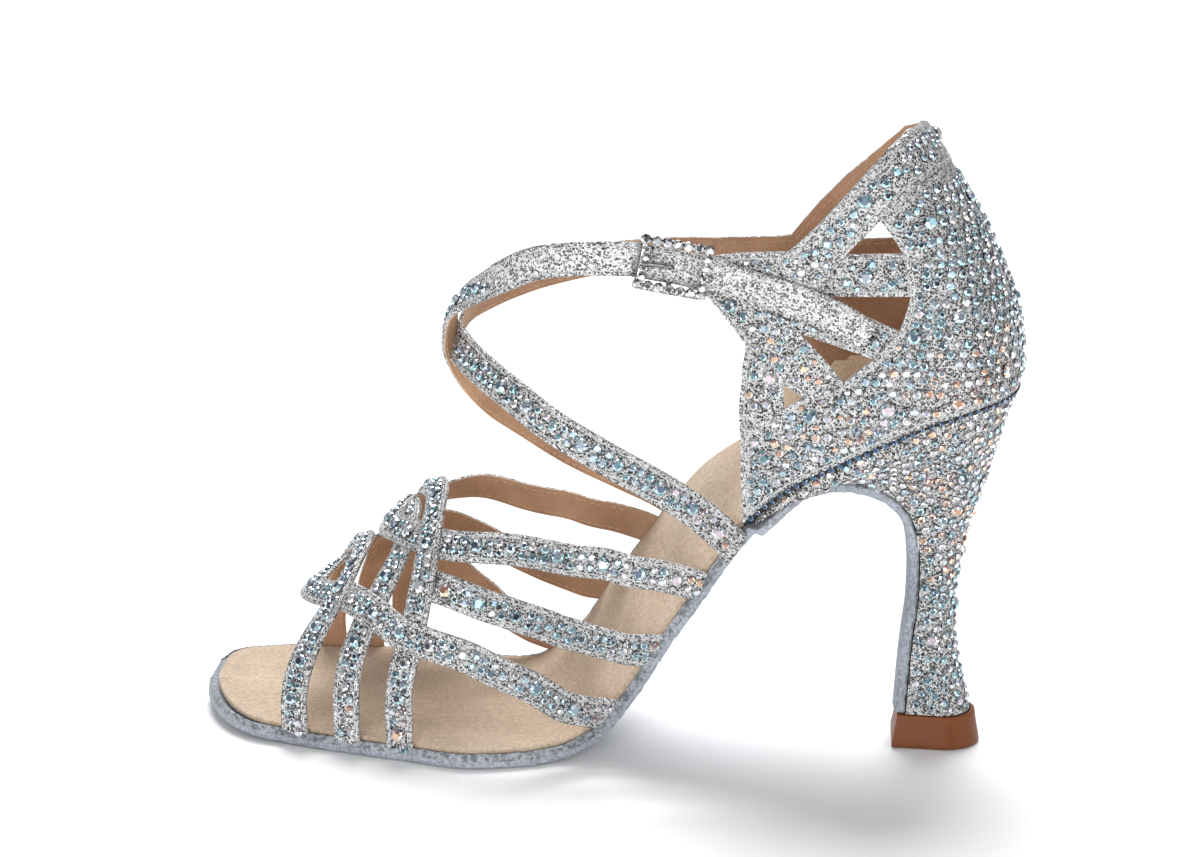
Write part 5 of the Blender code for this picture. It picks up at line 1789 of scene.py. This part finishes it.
def quarter_stones(around, mood):
    """Stones on the heel cup: a few big ones, packed rows of small ones, and the smallest between."""
    outline = [tuple(p) for p in subdivided(quarter_outline(), 3 * MM)]
    holes = cutout_outlines()
    rim = np.array(outline)
    low, high = rim.min(axis=0), rim.max(axis=0)
    tries = []
    for _ in range(QUARTER_BIG_TRIALS):
        tries.append((mood.uniform(low[0], high[0]), mood.uniform(low[1], high[1]), 1.85 * MM))
    pitch, rise, jitter = 2.72 * MM, 0.87, 0.42
    for row in range(int((high[1] - low[1]) / (rise * pitch)) + 1):
        for column in range(int((high[0] - low[0]) / pitch) + 1):
            tries.append((low[0] + pitch * (column + 0.5 * (row % 2)) + mood.uniform(-jitter, jitter) * MM,
                          low[1] + rise * pitch * row + mood.uniform(-jitter, jitter) * MM,
                          mood.choice((1.24, 1.20, 1.12)) * MM))
    for _ in range(QUARTER_FILL_TRIALS):
        tries.append((mood.uniform(low[0], high[0]), mood.uniform(low[1], high[1]),
                      mood.choice((1.05, 0.85)) * MM))
    tries = np.array(tries)
    tries = tries[inside_pattern(tries[:, :2], outline, holes)]
    panels = [topline_outline(-1), topline_outline(1), counter_outline()]
    distance = edge_distance(tries[:, :2], [outline] + holes + panels)
    counter = inside_many(tries[:, :2], panels[-1])
    chosen, places = np.zeros((0, 3)), []
    allowed = ("quarter_cloth", "topline_lateral", "topline_medial", "counter_cloth")
    for (w, z, radius), gap, dense in zip(tries, distance, counter):
        if gap < 0.85 * MM + radius:
            continue
        room = (0.10 if dense else 0.42) * MM + (9.0 * MM if radius > 1.5 * MM else 0.0)
        apart = np.hypot(chosen[:, 0] - w, chosen[:, 1] - z)
        if np.any(apart < chosen[:, 2] + radius + room):
            continue
        normal = wall_normal(w, z)
        point = wall_point(w, z, 0.5 * QUARTER_WALL)
        seat = around.seat(point, normal, radius, allowed)
        if seat is None:
            continue
        chosen = np.vstack((chosen, (w, z, radius)))
        palette = height_palette(point, mood, *CUP_LEVELS)
        places.append((seat - normal * STONE_SINK * MM, normal, radius, palette))
    return places


# Trials on the heel: those of big stones, those up to the middling ones, and all
BIG_TRIALS = 60
MIDDLE_TRIALS = 11000
HEEL_TRIALS = 17000

# How far the heel's stones sink into its cover, in mm
HEEL_SINK = 0.08


def heel_stones(around, cover, mood):
    """Dense scattered stones on the heel's sides and back."""
    mesh = cover.data
    mesh.calc_loop_triangles()
    verts = np.array([v.co for v in mesh.vertices])
    tris = np.array([t.vertices for t in mesh.loop_triangles])
    corners = verts[tris]
    cross = np.cross(corners[:, 1] - corners[:, 0], corners[:, 2] - corners[:, 0])
    areas = np.linalg.norm(cross, axis=1)
    normals = cross / np.maximum(areas[:, None], 1e-12)
    bag = np.cumsum(areas)
    chosen = np.zeros((0, 4))
    places = []
    for trial in range(HEEL_TRIALS):
        i = int(np.searchsorted(bag, mood.random() * bag[-1]))
        a, b = mood.random(), mood.random()
        if a + b > 1.0:
            a, b = 1.0 - a, 1.0 - b
        i = min(i, len(tris) - 1)
        first, second, third = corners[i]
        point = first + a * (second - first) + b * (third - first)
        normal = normals[i]
        if normal[2] > 0.75 or normal[0] < -0.72 or point[2] < TIP_HEIGHT + 1.6 * MM:
            continue
        if trial < BIG_TRIALS:
            radius, room = 1.7 * MM, 5.0 * MM
        elif trial < MIDDLE_TRIALS:
            radius, room = mood.choice((1.12, 1.05)) * MM, 0.12 * MM
        else:
            radius, room = 0.82 * MM, 0.12 * MM
        apart = np.linalg.norm(chosen[:, :3] - point, axis=1)
        if np.any(apart < chosen[:, 3] + radius + room):
            continue
        seat = around.seat(point, normal, radius, ("heel_cover",), flatness=0.3 * MM)
        if seat is None:
            continue
        chosen = np.vstack((chosen, (*point, radius)))
        palette = height_palette(point, mood, *HEEL_LEVELS)
        places.append((seat - normal * HEEL_SINK * MM, normal, radius, palette))
    return places


# Share of a strap that carries stones, and their palette; the other straps are covered all along
STONE_RUNS = {
    "ankle_strap_cloth": (0.52, cool_palette),
    "instep_strap_cloth": (0.97, vamp_palette),
}


def main():
    """Builds every piece, then the stones and stitches on them, and the studio."""
    blade = sole_blade()
    cloth, details = [], {}
    for name, line, normals, width, material in straps():
        strap = make_strap(name, line, normals, width, material)
        cut(strap, blade)
        settle(strap, "glitter_cover", "vamp" if "band" in name else name.replace("_cloth", ""))
        cloth.append(strap)
        details[name] = (line, normals, width)
    bpy.data.objects.remove(blade)
    quarter = make_quarter_pieces()
    cover = make_heel_cover()
    make_sock()
    make_sole()
    make_tip()
    axes = buckle_frame()
    make_buckle_piece(axes)
    settle_metal(axes)
    around = Surroundings(cloth + quarter + [cover])
    mood = random.Random(11)
    places = []
    for name, (line, normals, _) in details.items():
        end, palette = STONE_RUNS.get(name, (1.0, vamp_palette))
        places += strap_stones(around, name, line, normals, end, palette, mood)
    make_stones("strap_stones", places, 21)
    make_stones("quarter_stones", quarter_stones(around, mood), 22)
    make_stones("heel_stones", heel_stones(around, cover, mood), 23)
    make_stones("buckle_stones", buckle_stones(axes), 24)
    seam()
    sew(details.values())
    studio()


def settle_metal(axes):
    """Chrome prong, and the cloth tab behind the buckle."""
    path = prong_path(axes)
    prong = tube("prong_pin", path, 0.5 * PRONG_DIAMETER, CHROME)
    settle(prong, "buckle_metal", "buckle_prong")
    middle, tangent, _, normal = axes
    under = 0.5 * STRAP_THICKNESS + FIT + BUCKLE_BAR + FIT + 0.5 * STRAP_THICKNESS
    wing_z = float(up_z(TAB_END[1]))
    wing = wall_point(wrap_at(TAB_END[0], wing_z, -1), wing_z)
    start = middle - normal * under - tangent * BUCKLE_BAR
    direction = unit(wing - start)
    end = wing - direction * (FIT * 2.0)
    line = start + np.linspace(0.0, 1.0, 14)[:, None] * (end - start)
    tab = make_strap("tab_cloth", line, np.repeat(normal[None, :], len(line), axis=0), TAB_WIDTH)
    settle(tab, "glitter_cover", "buckle_tab")


def seam():
    """Dark cord along the seam under the heel cup, with small dark stones set along both sides."""
    left = float(wrap_at(FRONT_FOOT, lower_edge_z(-0.06), -1))
    right = float(wrap_at(FRONT_FOOT, lower_edge_z(0.06), 1))
    wraps = np.linspace(left + 0.5 * MM, right - 0.5 * MM, 220)
    path, outs = [], []
    for w in wraps:
        z = lower_edge_z(float(w)) - 0.15 * MM
        normal = wall_normal(float(w), z)
        path.append(wall_point(float(w), z, 0.5 * QUARTER_WALL) - normal * 0.15 * MM)
        outs.append(normal)
    path, outs = np.array(path), np.array(outs)
    settle(tube("seam_cord", path, 0.42 * MM, CORD), "glitter_cover")
    lengths = path_lengths(path)
    places = []
    for end in (0, 1):
        at = 2.5 * MM
        while at < 0.46 * lengths[-1]:
            spot = at if end == 0 else lengths[-1] - at
            centre = values_at(spot, lengths, path)
            normal = unit(values_at(spot, lengths, outs))
            radius = (0.80 if at < 0.28 * lengths[-1] else 0.60) * MM
            places.append((centre + normal * 0.25 * MM, normal, radius, TEAL))
            at += 2.4 * MM
    make_stones("seam_stones", places, 25)


def sew(strap_details):
    """Cream stitches on the linings and silver ones on the cloth borders."""
    inner, outer = [], []
    face = 0.5 * VISUAL_STRAP
    for line, normals, width in strap_details:
        for side in (-1, 1):
            inner.append(strap_runs(line, normals, side * (0.5 * width - 1.15 * MM), -face, 0.06, 0.94))
            outer.append(strap_runs(line, normals, side * (0.5 * width - 1.2 * MM), face - 0.05 * MM,
                                    0.05, 0.95))
    half = 0.5 * QUARTER_WALL
    holes = cutout_outlines()
    panels = [(quarter_outline(), True, 0.0), (topline_outline(-1), True, 0.38 * MM),
              (topline_outline(1), True, 0.38 * MM), (counter_outline(), True, 0.06 * MM)]
    for loop, inwards, lift in panels + [(hole, False, 0.06 * MM) for hole in holes]:
        path = inset_loop(loop, 1.25 * MM, inwards)
        spots = np.array([wall_point(w, z, half + lift) for w, z in path])
        outer.append((spots, np.array([wall_normal(w, z) for w, z in path])))
    for index, loop in enumerate([quarter_outline()] + holes):
        path = inset_loop(loop, 1.3 * MM, index == 0)
        spots = np.array([wall_point(w, z, -half + 0.1 * MM) for w, z in path])
        inner.append((spots, -np.array([wall_normal(w, z) for w, z in path])))
    make_stitches("lining_stitches", inner, CREAM_THREAD, 1.5 * MM, 0.55 * MM, "lining")
    make_stitches("cloth_stitches", outer, SILVER_THREAD, 2.6 * MM, 0.35 * MM, "glitter_cover")


def inset_loop(loop, inset, inwards):
    """A loop moved in from an outline, or out from a cut-out, cut to short runs."""
    points = np.array([tuple(p) for p in subdivided(loop, 1.5 * MM)])
    after = np.roll(points, -1, axis=0)
    area = 0.5 * np.sum(points[:, 0] * after[:, 1] - after[:, 0] * points[:, 1])
    run = unit(np.roll(points, -3, axis=0) - np.roll(points, 3, axis=0))
    out = np.stack((run[:, 1], -run[:, 0]), axis=1) * (1.0 if area > 0.0 else -1.0)
    moved = points + out * (-inset if inwards else inset)
    clear = edge_distance(moved, [loop]) > 0.8 * inset
    return moved[clear]


# Lights: name, kind, place, size or angle, power and aim
LIGHTS = (
    ("key", "AREA", (-0.35, -1.00, 0.24), 0.5, 5.5, (-0.08, 0.0, 0.06)),
    ("side", "AREA", (0.80, -0.60, 0.40), 0.4, 1.8, (-0.05, 0.0, 0.08)),
    ("back", "SUN", (-0.15, 0.72, 1.25), 0.60, 3.3, (-0.10, 0.0, 0.0)),
)
WORLD_STRENGTH = 0.40

# Camera: what it looks at, its distance, turn and height in degrees, and its lens
CAMERA_TARGET = (-0.0856, 0.0, 0.0797)
CAMERA_DISTANCE = 0.760
CAMERA_TURN = 4.5
CAMERA_HEIGHT = 15.3
CAMERA_LENS = 91.2
SENSOR_WIDTH = 36.0


def place_object(name, data, place, gaze):
    """An object in the scene that looks along a direction."""
    made = bpy.data.objects.new(name, data)
    made.location = place
    made.rotation_euler = gaze.to_track_quat("-Z", "Y").to_euler()
    bpy.context.scene.collection.objects.link(made)
    return made


def studio():
    """Pale floor, soft light from behind and in front, and the photograph's camera."""
    scene = bpy.context.scene
    bpy.ops.mesh.primitive_plane_add(size=14.0, location=(0.0, 0.0, -0.0002))
    floor = bpy.context.object
    floor.name = "floor"
    floor.data.materials.append(Look("floor_white", (0.92, 0.92, 0.925, 1.0), 0.75).material)
    world = bpy.data.worlds.new("studio")
    scene.world = world
    world.use_nodes = True
    background = world.node_tree.nodes["Background"]
    background.inputs["Color"].default_value = grey(1.0)
    background.inputs["Strength"].default_value = WORLD_STRENGTH
    for name, kind, place, size, power, aim in LIGHTS:
        data = bpy.data.lights.new(name, kind)
        setattr(data, "angle" if kind == "SUN" else "size", size)
        data.energy = power
        place_object(name, data, place, Vector(aim) - Vector(place))
    data = bpy.data.cameras.new("camera")
    data.lens = CAMERA_LENS
    data.sensor_width = SENSOR_WIDTH
    data.clip_start = 0.01
    azimuth, elevation = math.radians(CAMERA_TURN), math.radians(CAMERA_HEIGHT)
    level = math.cos(elevation)
    back = Vector((math.sin(azimuth) * level, -math.cos(azimuth) * level, math.sin(elevation)))
    place = Vector(CAMERA_TARGET) + back * CAMERA_DISTANCE
    scene.camera = place_object("camera", data, place, -back)
    scene.view_settings.view_transform = "Standard"


main()
